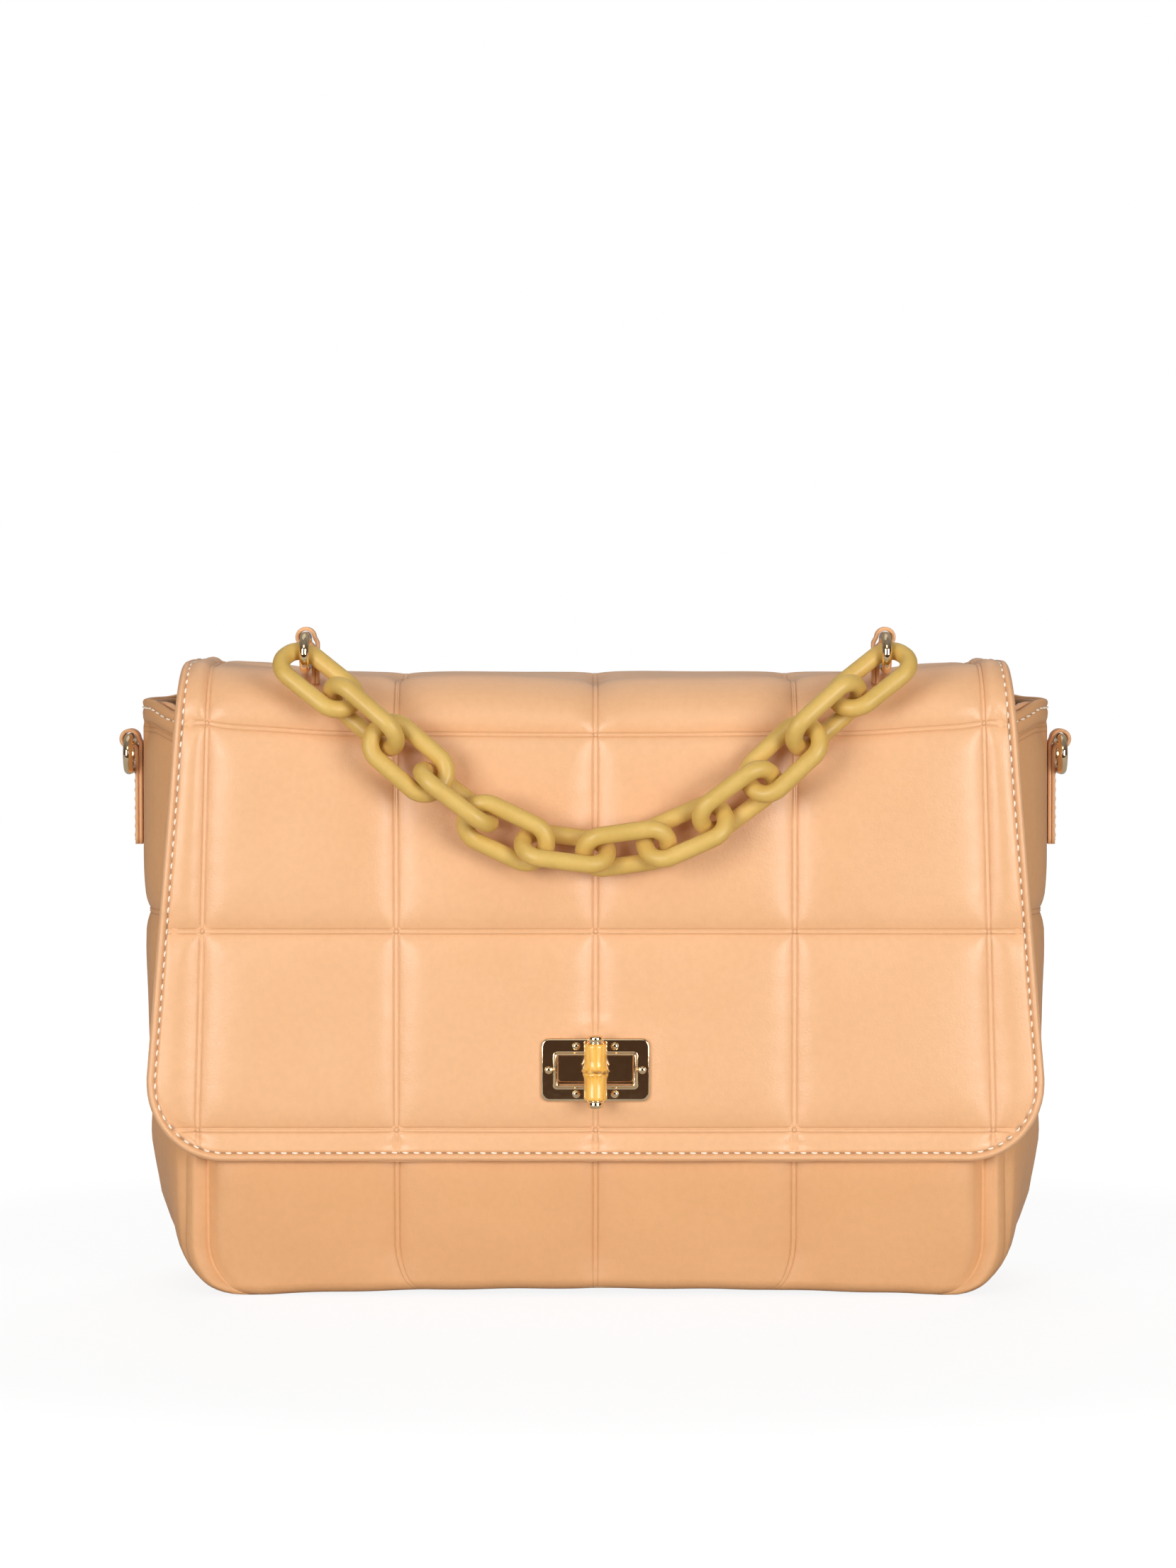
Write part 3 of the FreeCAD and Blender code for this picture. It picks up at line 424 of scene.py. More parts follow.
def thread_material():
    material, tree, shader, coords = new_material("pale_thread")
    shades = [(0.3, (0.95, 0.82, 0.64)), (0.7, (1.0, 0.93, 0.80))]
    tint = ramp(tree, noise(tree, coords, scale=900.0, detail=2.0), shades)
    twist = node(tree, "ShaderNodeTexWave", bands_direction="DIAGONAL", Vector=coords, Scale=900.0,
                 Distortion=1.0)
    relief = bump(tree, twist.outputs["Fac"], strength=0.4, distance=0.0001)
    feed(tree, shader, Base_Color=tint, Normal=relief, Roughness=0.6)
    return material


def board_material():
    material, tree, shader, coords = new_material("fibre_board")
    fibres = noise(tree, coords, scale=500.0, detail=4.0)
    tint = ramp(tree, fibres, [(0.3, (0.3, 0.22, 0.15)), (0.7, (0.5, 0.4, 0.28))])
    feed(tree, shader, Base_Color=tint, Roughness=0.85)
    return material


LEATHER = leather("cover_leather", (0.885, 0.505, 0.265), (0.85, 0.475, 0.24), (0.60, 0.31, 0.14))
# The body's leather is a darker copy of the cover leather: painted shade, as the body is less lit than the
# flap
SHADED_BODY_LEATHER = leather("body_leather_shaded", (0.785, 0.42, 0.195), (0.745, 0.39, 0.175), (0.45, 0.21, 0.08),
               gloss=(0.42, 0.52), shine=0.3, sheen=0.0)
STRAP = leather("strap_leather", (0.87, 0.48, 0.235), (0.82, 0.44, 0.205), (0.56, 0.27, 0.105), grain=0.8)
GOLD = gold("gilt", (0.95, 0.74, 0.46), 0.05)
RESIN = chain_resin()
BAMBOO = bamboo()
LINING = woven("lining_weave", (0.60, 0.42, 0.27), (0.36, 0.24, 0.15))
THREAD = thread_material()
BOARD = board_material()


# Flap: the run goes from the rear lip over the crown and down the front
LIP_RUN = 2.6
REAR_ARC = REAR_ROUND * math.pi / 2
CROWN_RUN = FLAP_REAR - REAR_ROUND + FLAP_FACE - FLAP_BEND
BEND_ARC = FLAP_BEND * math.pi / 2
FRONT_RUN = FLAP_TOP - FLAP_BEND - FLAP_LOW
RUNS = np.cumsum([LIP_RUN, REAR_ARC, CROWN_RUN, BEND_ARC, FRONT_RUN])
FLAP_LENGTH = float(RUNS[-1])
RUN_AT_LINE = float(RUNS[3]) - FLAP_BEND * math.asin((LINE_Z[2] - FLAP_TOP + FLAP_BEND) / FLAP_BEND)
SLOT_RUN = float(RUNS[4]) - (LOCK_Z - FLAP_LOW)
SLOT_HALF_X = 12.45
SLOT_HALF_Z = 4.95
RUN_LINES = tuple(RUN_AT_LINE + SQUARE * k for k in (-1, 0, 1, 2))
OUTER_LINE = LINE_X[-1]
OUTER_LINE_TOP = 129.0
OUTER_LINE_LOW_Z = 60.0
CORNER_BAND = 8.0
FLAP_STEP = 2.8
FLAP_PAD_DEPTH = 3.0
FLAP_THICK = 3.45
PAD_REACH = 21.0
COVER_SUNK = 0.35
COVER_MOST = 0.25
STITCH_SUNK = 0.95
EDGE_PRESSED = 0.9
EDGE_BEAD = 0.45
EDGE_ROLL = 1.4
RIM_STEP = 1.5

# Quilting: blend where lines cross, pad slope, ridge, crease and pucker
CROSSING = 0.8
STEEP_REACH = 7.5
RIDGE_RISE = 0.4
RIDGE_HALF = 0.75
CREASE_AT = 0.85
CREASE_DEPTH = 0.13
# Share of painted shade in the fine creases beside the quilting lines
CREASE_SHADE = 0.36
PUCKER = 0.1
FAR_FROM_LINE = 40.0

# Places where the flap's cover is pressed flat: under the lock plate and under the handle tabs
SEAT_HALF_X = 18.2
SEAT_HALF_Z = 10.7
HANDLE_X = 93.5
HANDLE_Y = -41.4
HANDLE_FOOT = 13.0

# Crown: its two ends rise, most of all just inside the side edges, and its middle sags
CROWN_LOW_Z = 165.0
CROWN_BLEND = 44.0
CROWN_REAR_RUN = 30.0
END_RISE = 3.4
END_START = 82.0
END_RUN = 42.0
PEAK_RISE = 2.7
PEAK_X = 132.0
PEAK_WIDTH = 7.5
SAG = 0.9
SAG_HALF = 95.0

# Lining of the flap: its size, its margins and its two faces below the cover
CLOTH_HALF = 147.5
CLOTH_MARGIN = 2.4
CLOTH_START = 4.6
CLOTH_END = 2.6
CLOTH_CORNER = FLAP_CORNER - 2
CLOTH_OUTER = 3.52
CLOTH_INNER = 3.98


def flap_profile(s):
    """Depth and height of the flap's outer face at a run, with its outward direction."""
    s = np.asarray(s, float)
    a = np.clip((s - RUNS[0]) / REAR_ROUND, 0, math.pi / 2)
    y = FLAP_REAR - REAR_ROUND + REAR_ROUND * np.cos(a) - np.maximum(s - RUNS[1], 0)
    z = FLAP_TOP - REAR_ROUND + REAR_ROUND * np.sin(a) - np.maximum(RUNS[0] - s, 0)
    b = np.clip((s - RUNS[2]) / FLAP_BEND, 0, math.pi / 2)
    front = s > RUNS[2]
    y = np.where(front, FLAP_BEND - FLAP_FACE - FLAP_BEND * np.sin(b), y)
    z = np.where(front, FLAP_TOP - FLAP_BEND + FLAP_BEND * np.cos(b) - np.maximum(s - RUNS[3], 0), z)
    ny = np.where(front, -np.sin(b), np.cos(a))
    nz = np.where(front, np.cos(b), np.sin(a))
    return y, z, ny, nz


def flap_half(s):
    """Half-width of the flap before its lower corners are rounded."""
    z = flap_profile(s)[1]
    share = np.clip((FLAP_TOP - z) / (FLAP_TOP - FLAP_WIDEST_Z), 0, 1)
    return FLAP_TOP_HALF + (FLAP_WIDEST - FLAP_TOP_HALF) * share


def side_line(s):
    """Half-distance between the flap's two outer lines, a little less at the crown."""
    z = flap_profile(s)[1]
    share = np.clip((FLAP_TOP - z) / (FLAP_TOP - OUTER_LINE_LOW_Z), 0, 1)
    return OUTER_LINE_TOP + (OUTER_LINE - OUTER_LINE_TOP) * share


def taper(u, s):
    """Where a place on the untapered flap comes to lie."""
    a = np.abs(u)
    line = side_line(s)
    middle = SQUARE + (a - SQUARE) * (line - SQUARE) / (OUTER_LINE - SQUARE)
    outside = line + (a - OUTER_LINE) * (flap_half(s) - line) / (FLAP_WIDEST - OUTER_LINE)
    return np.sign(u) * np.where(a <= SQUARE, a, np.where(a <= OUTER_LINE, middle, outside))


def untaper(x, s):
    """The place on the untapered flap that comes to lie at x."""
    a = np.abs(x)
    line = side_line(s)
    middle = SQUARE + (a - SQUARE) * (OUTER_LINE - SQUARE) / (line - SQUARE)
    outside = OUTER_LINE + (a - line) * (FLAP_WIDEST - OUTER_LINE) / (flap_half(s) - line)
    return np.sign(x) * np.where(a <= SQUARE, a, np.where(a <= line, middle, outside))


def edge_distance(x, s):
    """Distance inwards from the flap's outline, its lower corners rounded."""
    half = flap_half(s)
    low = FLAP_LENGTH - s
    qx = np.abs(x) - (half - FLAP_CORNER)
    qz = FLAP_CORNER - low
    corner = FLAP_CORNER - np.hypot(np.maximum(qx, 0), np.maximum(qz, 0))
    plain = np.minimum(half - np.abs(x), low)
    return np.maximum(np.minimum(np.where((qx > 0) & (qz > 0), corner, plain), s), 0.0)


def quilt(du, dv, across, along, depth, reach):
    """Height of a quilted cover at given distances from its lines: pads, fine ridges and small puckers."""
    near = np.maximum(-np.log(np.exp(-CROSSING * du) + np.exp(-CROSSING * dv)) / CROSSING, 0)
    steep = (1 - np.clip(near / STEEP_REACH, 0, 1)) ** 2
    slow = (1 - np.clip(near / reach, 0, 1)) ** 2
    height = -depth * (0.5 * steep + 0.5 * slow)
    for d, place in ((du, along), (dv, across)):
        ridge = RIDGE_RISE * smooth((RIDGE_HALF - d) / 0.33) - CREASE_DEPTH * bell(d - CREASE_AT, 0.24)
        waves = PUCKER * np.sin(place * 0.62 + 1.7 * np.sin(place * 0.11))
        height = height + ridge + waves * np.exp(-d / 6) * smooth(d / 3)
    return height


def crease_painted_shade(du, dv):
    """Share of painted shade in the two fine creases beside each quilting line."""
    return CREASE_SHADE * np.maximum(bell(du - CREASE_AT, 0.17), bell(dv - CREASE_AT, 0.17))


def ripple(x, s):
    """Slow uneven waves of a soft cover."""
    return 0.35 * np.sin(x * 0.045 + 0.8) * np.sin(s * 0.052 + 0.3) + 0.2 * np.sin(x * 0.11 + s * 0.07)


def flap_height(x, s):
    """How far the cover stands out of the solid's face."""
    u = untaper(x, s)
    e = edge_distance(x, s)
    height = quilt(to_lines(u, LINE_X), to_lines(s, RUN_LINES), u, s, FLAP_PAD_DEPTH, PAD_REACH)
    # The quilting fades out at the free edge and at the rear lip
    height = height * (0.12 + 0.88 * smooth((e - 1.8) / 3.5)) * (0.15 + 0.85 * smooth((s - 5.0) / 13.0))
    height = height + ripple(x, s) * smooth((s - 3.0) / 10.0) - COVER_SUNK
    y, z = flap_profile(s)[:2]
    on_front = s > RUNS[3] - 5
    seat = np.where(on_front, pressed(x, z - LOCK_Z, SEAT_HALF_X, SEAT_HALF_Z, 6.0), 0.0)
    height = height * (1 - seat) - 0.08 * seat
    for side in (-1, 1):
        away = np.hypot(x - side * HANDLE_X, (y - HANDLE_Y) * 1.2)
        foot = np.where(s < RUNS[3], smooth(1 - away / HANDLE_FOOT), 0.0)
        height = height * (1 - foot) - 0.5 * foot
    # The edge is pressed thin, sunk under its stitches and rolled over
    height = height - EDGE_PRESSED * smooth(1 - (e - 3.0) / 6.0) - STITCH_SUNK * bell(e - STITCH_INSET, 0.6)
    height = height + EDGE_BEAD * bell(e - EDGE_ROLL, 0.9) - rounded(e, EDGE_ROLL)
    return np.minimum(height, COVER_MOST)


def flap_lift(x, s):
    """Rise of the crown towards its two ends."""
    z = flap_profile(s)[1]
    a = np.abs(x)
    along = smooth((z - CROWN_LOW_Z) / CROWN_BLEND) * smooth(s / CROWN_REAR_RUN)
    ends = END_RISE * smooth((a - END_START) / END_RUN) + PEAK_RISE * bell(a - PEAK_X, PEAK_WIDTH)
    return (ends - SAG * smooth(1 - a / SAG_HALF)) * along


def flap_points(x, s, height):
    """Points at a height over the flap's face."""
    y, z, ny, nz = flap_profile(s)
    return points_at(x, y + ny * height, z + nz * height + flap_lift(x, s))


def with_slot_lines(spots, middle, half):
    """The same places, with the two edges of the lock's slot put among them."""
    edges = (middle - half, middle + half)
    return np.array(sorted([p for p in spots if to_lines(p, edges) > 0.2] + list(edges)))


def slot_quads(x, s):
    """Marks the quads of a grid that lie in the lock's slot."""
    across = (x[:-1, :-1] + x[1:, 1:]) / 2
    along = (s[:-1, :-1] + s[1:, 1:]) / 2
    return (np.abs(across) < SLOT_HALF_X) & (np.abs(along - SLOT_RUN) < SLOT_HALF_Z)


def squeeze_corners(x, s, half, length, corner):
    """Pulls the outer columns of a grid inside the rounded lower corners of a sheet."""
    low = np.minimum(length - s, corner)
    limit = half - corner + np.sqrt(np.maximum(corner ** 2 - (corner - low) ** 2, 0))
    knee = limit - CORNER_BAND
    beyond = np.maximum(np.abs(x) - knee, 0)
    squeezed = knee + beyond * CORNER_BAND / np.maximum(half - knee, 1e-6)
    return np.where(np.abs(x) > knee, np.sign(x) * squeezed, x)


def build_flap():
    u = with_slot_lines(samples(-FLAP_WIDEST, FLAP_WIDEST, FLAP_STEP, LINE_X), 0.0, SLOT_HALF_X)
    runs = with_slot_lines(samples(0.0, FLAP_LENGTH, FLAP_STEP, RUN_LINES), SLOT_RUN, SLOT_HALF_Z)
    uu, s = np.meshgrid(u, runs)
    x = squeeze_corners(taper(uu, s), s, flap_half(s), FLAP_LENGTH, FLAP_CORNER)
    e = edge_distance(x, s)
    outer = flap_points(x, s, flap_height(x, s))
    inner = flap_points(x, s, -FLAP_THICK + rounded(e, 0.8) * 0.9)
    made = shell(outer, inner, hole=slot_quads(x, s))
    flap = add_mesh("quilted_flap", *made, LEATHER, "flap", "leather_cover", ["flap_shell"])
    # Painted shade in the creases beside the quilting lines and along the stitch groove
    crease_shade = crease_painted_shade(to_lines(untaper(x, s), LINE_X), to_lines(s, RUN_LINES)) * smooth((e - 3.0) / 2.0)
    stitch_shade = bell(e - STITCH_INSET, 0.3)
    mark_painted_shade(flap, np.maximum(crease_shade, stitch_shade) * (s > STITCH_START))


def flap_rim(inset, start):
    """A path round the flap's free edge, a given distance inside it."""
    corner = FLAP_CORNER - inset
    end = FLAP_LENGTH - FLAP_CORNER
    half = float(flap_half(FLAP_LENGTH))
    straight = half - FLAP_CORNER
    left = [(-(float(flap_half(s)) - inset), s) for s in np.arange(start, end, RIM_STEP)]
    for a in np.linspace(0, math.pi / 2, 24):
        left.append((-(straight + corner * math.cos(a)), end + corner * math.sin(a)))
    low = [(x, FLAP_LENGTH - inset) for x in np.linspace(-straight, straight, 150)[1:-1]]
    right = [(-x, s) for x, s in reversed(left)]
    return np.array(left + low + right)


def build_flap_stitches():
    x, s = flap_rim(STITCH_INSET, STITCH_START).T
    points = flap_points(x, s, flap_height(x, s))
    normals = points_at(0.0, *flap_profile(s)[2:])
    add_mesh("flap_stitching", *stitch_mesh(points, normals), THREAD, "flap")


def build_flap_lining():
    end = FLAP_LENGTH - CLOTH_END
    u = with_slot_lines(samples(-CLOTH_HALF, CLOTH_HALF, 7.0, ends=2.0), 0.0, SLOT_HALF_X)
    runs = with_slot_lines(samples(CLOTH_START, end, 6.0, ends=2.0), SLOT_RUN, SLOT_HALF_Z)
    uu, s = np.meshgrid(u, runs)
    half = flap_half(s) - CLOTH_MARGIN
    a = np.abs(uu)
    narrowed = SQUARE + (a - SQUARE) * (half - SQUARE) / (CLOTH_HALF - SQUARE)
    x = np.where(a > SQUARE, np.sign(uu) * narrowed, uu)
    x = squeeze_corners(x, s, half, end, CLOTH_CORNER)
    outer = flap_points(x, s, np.full(x.shape, -CLOTH_OUTER))
    inner = flap_points(x, s, 0.1 * np.sin(x * 0.09) * np.sin(s * 0.07) - CLOTH_INNER)
    made = shell(outer, inner, hole=slot_quads(x, s))
    sheet = add_mesh("flap_lining_cloth", *made, LINING, "flap", "lining_cloth", ["flap_lining"])


# Bag body
SWELL_Z = (0, 5, 12, 21, 31, 50, 90, 130, 210)
SWELL_X = (0.8, 2.0, 3.8, 7.6, 10.8, 14.0, 16.0, 17.0, 17.0)
SWELL_POWER = 2.7
BOW_RISE = 1.9
BOW_HALF = 112.0
BOW_FADE = 30.0
PANEL_PAD_DEPTH = 2.8
PANEL_THICK = 3.9
LEAST_THICK = 0.3
PAD_END_SUNK = 2.7
PANEL_BEAD = 1.5
LOW_BULGE = 2.6
LOW_TUCK = 4.4
SEAM_ROLL = 3.2
BASE_ROLL = 4.0
LIP_ROLL = 1.4
LOCK_SEAT_X = 15.2
LOCK_SEAT_Z = 7.2
SIDE_PAD_DEPTH = 2.5
SIDE_PAD_REACH = 19.0
SIDE_THICK = 2.9
SIDE_SEAM_SUNK = 3.2
HEM = 9
FOLD = 0.8
TAB_Z = 168
TAB_HALF_Y = 4.5
TAB_HALF_Z = 22
BASE_HALF_X = 119.0
BASE_HALF_Y = 40.5
BASE_THICK = 2.45
BASE_EDGE = 2.2
INSIDE_DEPTH = 42.0
LINING_FLOOR = 5.4
LINING_LAP = 1.5
FACING_TALL = 22.0
FACING_GAP = 0.7
LINING_FACES = (4.2, 4.65)
LINING_LEVELS = 34
LINING_SAG = 0.35
FACING_FACES = (3.15, 3.9)
FACING_LEVELS = 14

# Hinge strip: its edges, where it leaves the back panel, and its hand-over to the flap
STRIP_HALF = 137.2
STRIP_LOW = 192.6
STRIP_HIGH = 206.6
STRIP_LEAVES = 200.5
STRIP_TURN = 199.5
STRIP_TURN_RUN = 4.5
STRIP_LIP_RUN = 1.6
STRIP_THICK = 1.0
STRIP_SUNK = 0.15


def seam_at(z):
    """Half-distance between the two side seams of the panels at a height."""
    z = np.asarray(z, float)
    drop = np.clip(BODY_CORNER - z, 0, BODY_CORNER)
    return BODY_HALF - BODY_CORNER + np.sqrt(BODY_CORNER ** 2 - drop ** 2)


def swell_at(z):
    """How far an end wall swells out past its seams at a height."""
    return np.interp(z, SWELL_Z, SWELL_X)


def base_bow(x):
    """Rise of the lower edge between the corners the bag stands on."""
    return BOW_RISE * np.clip(1 - (x / BOW_HALF) ** 2, 0, None) + 0.12 * (1 + np.sin(x * 0.19 + 0.6))


def panel_height(uu, zz, front, top):
    """How far a panel stands out of the solid's face, at a share of its half-width and a height."""
    x = uu * seam_at(zz)
    plain = uu * BODY_HALF
    du = to_lines(plain, PANEL_LINE_X)
    height = quilt(du, to_lines(zz, LINE_Z), plain, zz, PANEL_PAD_DEPTH, PAD_REACH)
    # The pads end at a sunk line, and a round edge stands outside it
    beyond = np.abs(plain) - PANEL_PAD
    height = height * smooth((3.0 - beyond) / 5.0) - PAD_END_SUNK * smooth((beyond + 5.5) / 5.8)
    height = height - 0.6 * bell(beyond, 0.8) + PANEL_BEAD * bell(beyond - 4.0, 2.4)
    height = height + ripple(x + 40, zz) - 0.4
    height = height * (0.25 + 0.75 * smooth(zz / 14))
    # The lower part swells out and tucks under towards the base
    bulge = LOW_BULGE * smooth((62 - zz) / 24) - LOW_TUCK * (1 - np.clip(zz / 44, 0, 1))
    height = height + bulge * smooth((1 - np.abs(uu)) * 6)
    if front:
        seat = pressed(x, zz - LOCK_Z, LOCK_SEAT_X, LOCK_SEAT_Z, 6.0)
        height = height * (1 - seat) - 0.06 * seat
    height = height - rounded(seam_at(zz) - np.abs(x), SEAM_ROLL) - rounded(zz, BASE_ROLL)
    return height - rounded(top - zz, LIP_ROLL) - 0.5 * bell(top - zz - LIP_STITCH, 0.8)


def build_panel(name, front, top, node_name):
    """Front or back panel: a padded, quilted face whose edges roll into the seams."""
    side = -1 if front else 1
    u = samples(-BODY_HALF, BODY_HALF, 3.0, (-PANEL_PAD,) + PANEL_LINE_X + (PANEL_PAD,)) / BODY_HALF
    z = samples(0.0, top, 3.2, LINE_Z, ends=6.0)
    uu, zz = np.meshgrid(u, z)
    x = uu * seam_at(zz)
    height = panel_height(uu, zz, front, top)
    back = rounded(top - zz, 1.2) - PANEL_THICK
    up = zz + base_bow(x) * smooth((BOW_FADE - zz) / BOW_FADE)
    outer = points_at(x, side * (FACE + height), up)
    inner = points_at(x, side * (FACE + np.minimum(back, height - LEAST_THICK)), up)
    made = shell(outer, inner, flip=not front)
    panel = add_mesh(name, *made, SHADED_BODY_LEATHER, "bag_body", "leather_cover", [node_name])
    # Painted shade in the creases beside the quilting lines and along the stitch groove under the lip
    crease_shade = crease_painted_shade(to_lines(uu * BODY_HALF, PANEL_LINE_X), to_lines(zz, LINE_Z))
    mark_painted_shade(panel, np.maximum(crease_shade, 0.6 * bell(top - zz - LIP_STITCH, 0.3)))
    xs = np.linspace(-BODY_HALF + 4, BODY_HALF - 4, 180)
    row = [(x, side * (FACE - 0.9), top - LIP_STITCH) for x in xs]
    stitches = stitch_mesh(row, np.tile([0, side, 0], (len(row), 1)))
    add_mesh(name + "_stitching", *stitches, THREAD, "bag_body")


def gusset_height(t, z):
    """How far an end wall stands out of the solid's face, at a share of its half-depth and a height."""
    y = t * SEAM_Y
    far = np.full(np.shape(z), FAR_FROM_LINE)
    height = quilt(far, to_lines(z, SIDE_LINE_Z), z, y, SIDE_PAD_DEPTH, SIDE_PAD_REACH)
    height = height + 0.5 * np.sin(y * 0.12 + z * 0.03) * np.sin(z * 0.05) - 0.45
    hem = smooth((z - (SIDE_LIP - HEM)) / 3.0)
    height = height * (1 - hem) - 0.2 * hem
    tab = pressed(y, z - TAB_Z, TAB_HALF_Y, TAB_HALF_Z, 7.0)
    height = height * (1 - tab) - 0.15 * tab
    height = height - 0.5 * bell(SIDE_LIP - z - HEM_STITCH, 0.8) - rounded(SIDE_LIP - z, 1.3)
    folds = FOLD * np.sin(7.0 * t + 0.035 * z + 0.9) * smooth((88 - z) / 50) * (1 - t * t)
    at_seam = smooth((np.abs(t) - 0.89) / 0.11)
    return np.clip(height + folds, -SIDE_THICK, 0.2) - SIDE_SEAM_SUNK * at_seam


def gusset_points(side, t, z, height):
    """Points at a height over an end wall's face, its lip led up or down to the two panels' lips."""
    x = seam_at(z) + swell_at(z) * (1 - np.abs(t) ** SWELL_POWER) + height
    to_front = (FRONT_LIP + 0.4 - SIDE_LIP) * smooth((-t - 0.55) / 0.45)
    to_back = (BACK_LIP - 0.4 - SIDE_LIP) * smooth((t - 0.55) / 0.45)
    return points_at(side * x, t * SEAM_Y, z + (to_front + to_back) * smooth((z - 160.0) / 38.0))


def build_gusset(name, side, node_name):
    t = samples(-SEAM_Y, SEAM_Y, 2.6) / SEAM_Y
    z = samples(0.6, SIDE_LIP, 3.0, SIDE_LINE_Z, ends=5.0)
    tt, zz = np.meshgrid(t, z)
    height = gusset_height(tt, zz)
    outer = gusset_points(side, tt, zz, height)
    back = rounded(SIDE_LIP - zz, 1.1) - SIDE_THICK
    inner = gusset_points(side, tt, zz, np.minimum(back, height - LEAST_THICK))
    made = shell(outer, inner, flip=side < 0)
    wall = add_mesh(name, *made, SHADED_BODY_LEATHER, "bag_body", "leather_cover", [node_name])
    # Painted shade in the creases beside the quilting lines and along the hem's stitch groove
    crease_shade = crease_painted_shade(np.full(zz.shape, FAR_FROM_LINE), to_lines(zz, SIDE_LINE_Z))
    mark_painted_shade(wall, np.maximum(crease_shade, 0.7 * bell(SIDE_LIP - zz - HEM_STITCH, 0.3)))
    t = np.linspace(-0.93, 0.93, 80)
    z = np.full(t.shape, SIDE_LIP - HEM_STITCH)
    points = gusset_points(side, t, z, gusset_height(t, z))
    normals = points_at(side * 1.0, t * 0.8, 0.0)
    add_mesh(name + "_stitching", *stitch_mesh(points, normals), THREAD, "bag_body")


def build_base():
    x = samples(-BASE_HALF_X, BASE_HALF_X, 8.0)
    y = samples(-BASE_HALF_Y, BASE_HALF_Y, 6.0)
    xx, yy = np.meshgrid(x, y)
    e = np.minimum(BASE_HALF_X - np.abs(xx), BASE_HALF_Y - np.abs(yy))
    lower = rounded(e, BASE_EDGE) + 0.05 * (1 - np.cos(xx * 0.4)) * smooth(e / 6)
    lower = lower + base_bow(xx) * smooth((np.abs(yy) - 14.0) / 22.0)
    outer = points_at(xx, yy, np.minimum(lower, BASE_EDGE))
    inner = points_at(xx, yy, BASE_THICK)
    made = shell(outer, inner, flip=True)
    base = add_mesh("base_cover", *made, SHADED_BODY_LEATHER, "bag_body", "leather_cover", ["base_panel"])


def inside_ring(z, inset):
    """A closed loop round the inside of the body at a height."""
    half = float(seam_at(z)) - inset
    depth = INSIDE_DEPTH - (inset - 3.0)
    swell = float(swell_at(z))
    front = [(half * u, -depth) for u in np.linspace(-1, 1, 31)[:-1]]
    right = [(half + swell * (1 - abs(t) ** SWELL_POWER), depth * t) for t in np.linspace(-1, 1, 21)[:-1]]
    half_way = np.array(front + right)
    return np.vstack([half_way, -half_way])


def inside_layer(lows, highs, inset, levels, sag=0.0):
    """Rows of points round the inside, from the lower to the upper edge of one layer."""
    rows = []
    for share in np.linspace(0, 1, levels):
        heights = lows + (highs - lows) * share
        ring = np.array([inside_ring(h, inset)[k] for k, h in enumerate(heights)])
        slack = np.abs(sag * np.sin(np.arange(len(ring)) * 0.5) * np.sin(share * 9.0))
        pull = unit(np.stack([ring[:, 0] * 0.3, ring[:, 1]], axis=-1))
        rows.append(np.column_stack([ring - pull * slack[:, None], heights]))
    return np.vstack(rows)


def inside_faces(levels, count, floor):
    """Faces of a wall of two layers round the inside, with a floor or else a closed lower edge."""
    size = levels * count
    top = size - count
    faces = grid_faces(levels, count, 0, wrap_cols=True)
    faces += grid_faces(levels, count, size, wrap_cols=True, flip=True)
    for j in range(count):
        k = (j + 1) % count
        faces.append((top + j, top + k, size + top + k, size + top + j))
        if not floor:
            faces.append((j, size + j, size + k, k))
    if floor:
        faces.append(tuple(range(count))[::-1])
        faces.append(tuple(range(size, size + count)))
    return faces


def build_inside():
    """Lining cloth below and leather facing above, round the whole mouth."""
    loop = inside_ring(150.0, 3.4)
    count = len(loop)
    lips = FRONT_LIP + (BACK_LIP - FRONT_LIP) * smooth((loop[:, 1] + INSIDE_DEPTH) / (2 * INSIDE_DEPTH))
    ends = smooth((np.abs(loop[:, 0]) - 136.0) / 8.0)
    lips = lips * (1 - ends) + SIDE_LIP * ends
    joins = lips - FACING_TALL
    floors = np.full(count, LINING_FLOOR)
    tops = joins + LINING_LAP
    verts = np.vstack([inside_layer(floors, tops, f, LINING_LEVELS, LINING_SAG) for f in LINING_FACES])
    faces = inside_faces(LINING_LEVELS, count, True)
    cloth = add_mesh("lining_bag", verts, faces, LINING, "bag_body", "lining_cloth",
                     ["lining_front", "lining_back", "lining_left", "lining_right", "lining_base"])
    tops = lips - FACING_GAP
    verts = np.vstack([inside_layer(joins, tops, f, FACING_LEVELS) for f in FACING_FACES])
    faces = inside_faces(FACING_LEVELS, count, False)
    facing = add_mesh("mouth_facing", verts, faces, LEATHER, "bag_body", "leather_cover",
                      ["front_mouth_facing", "back_mouth_facing",
                       "left_mouth_facing", "right_mouth_facing"])


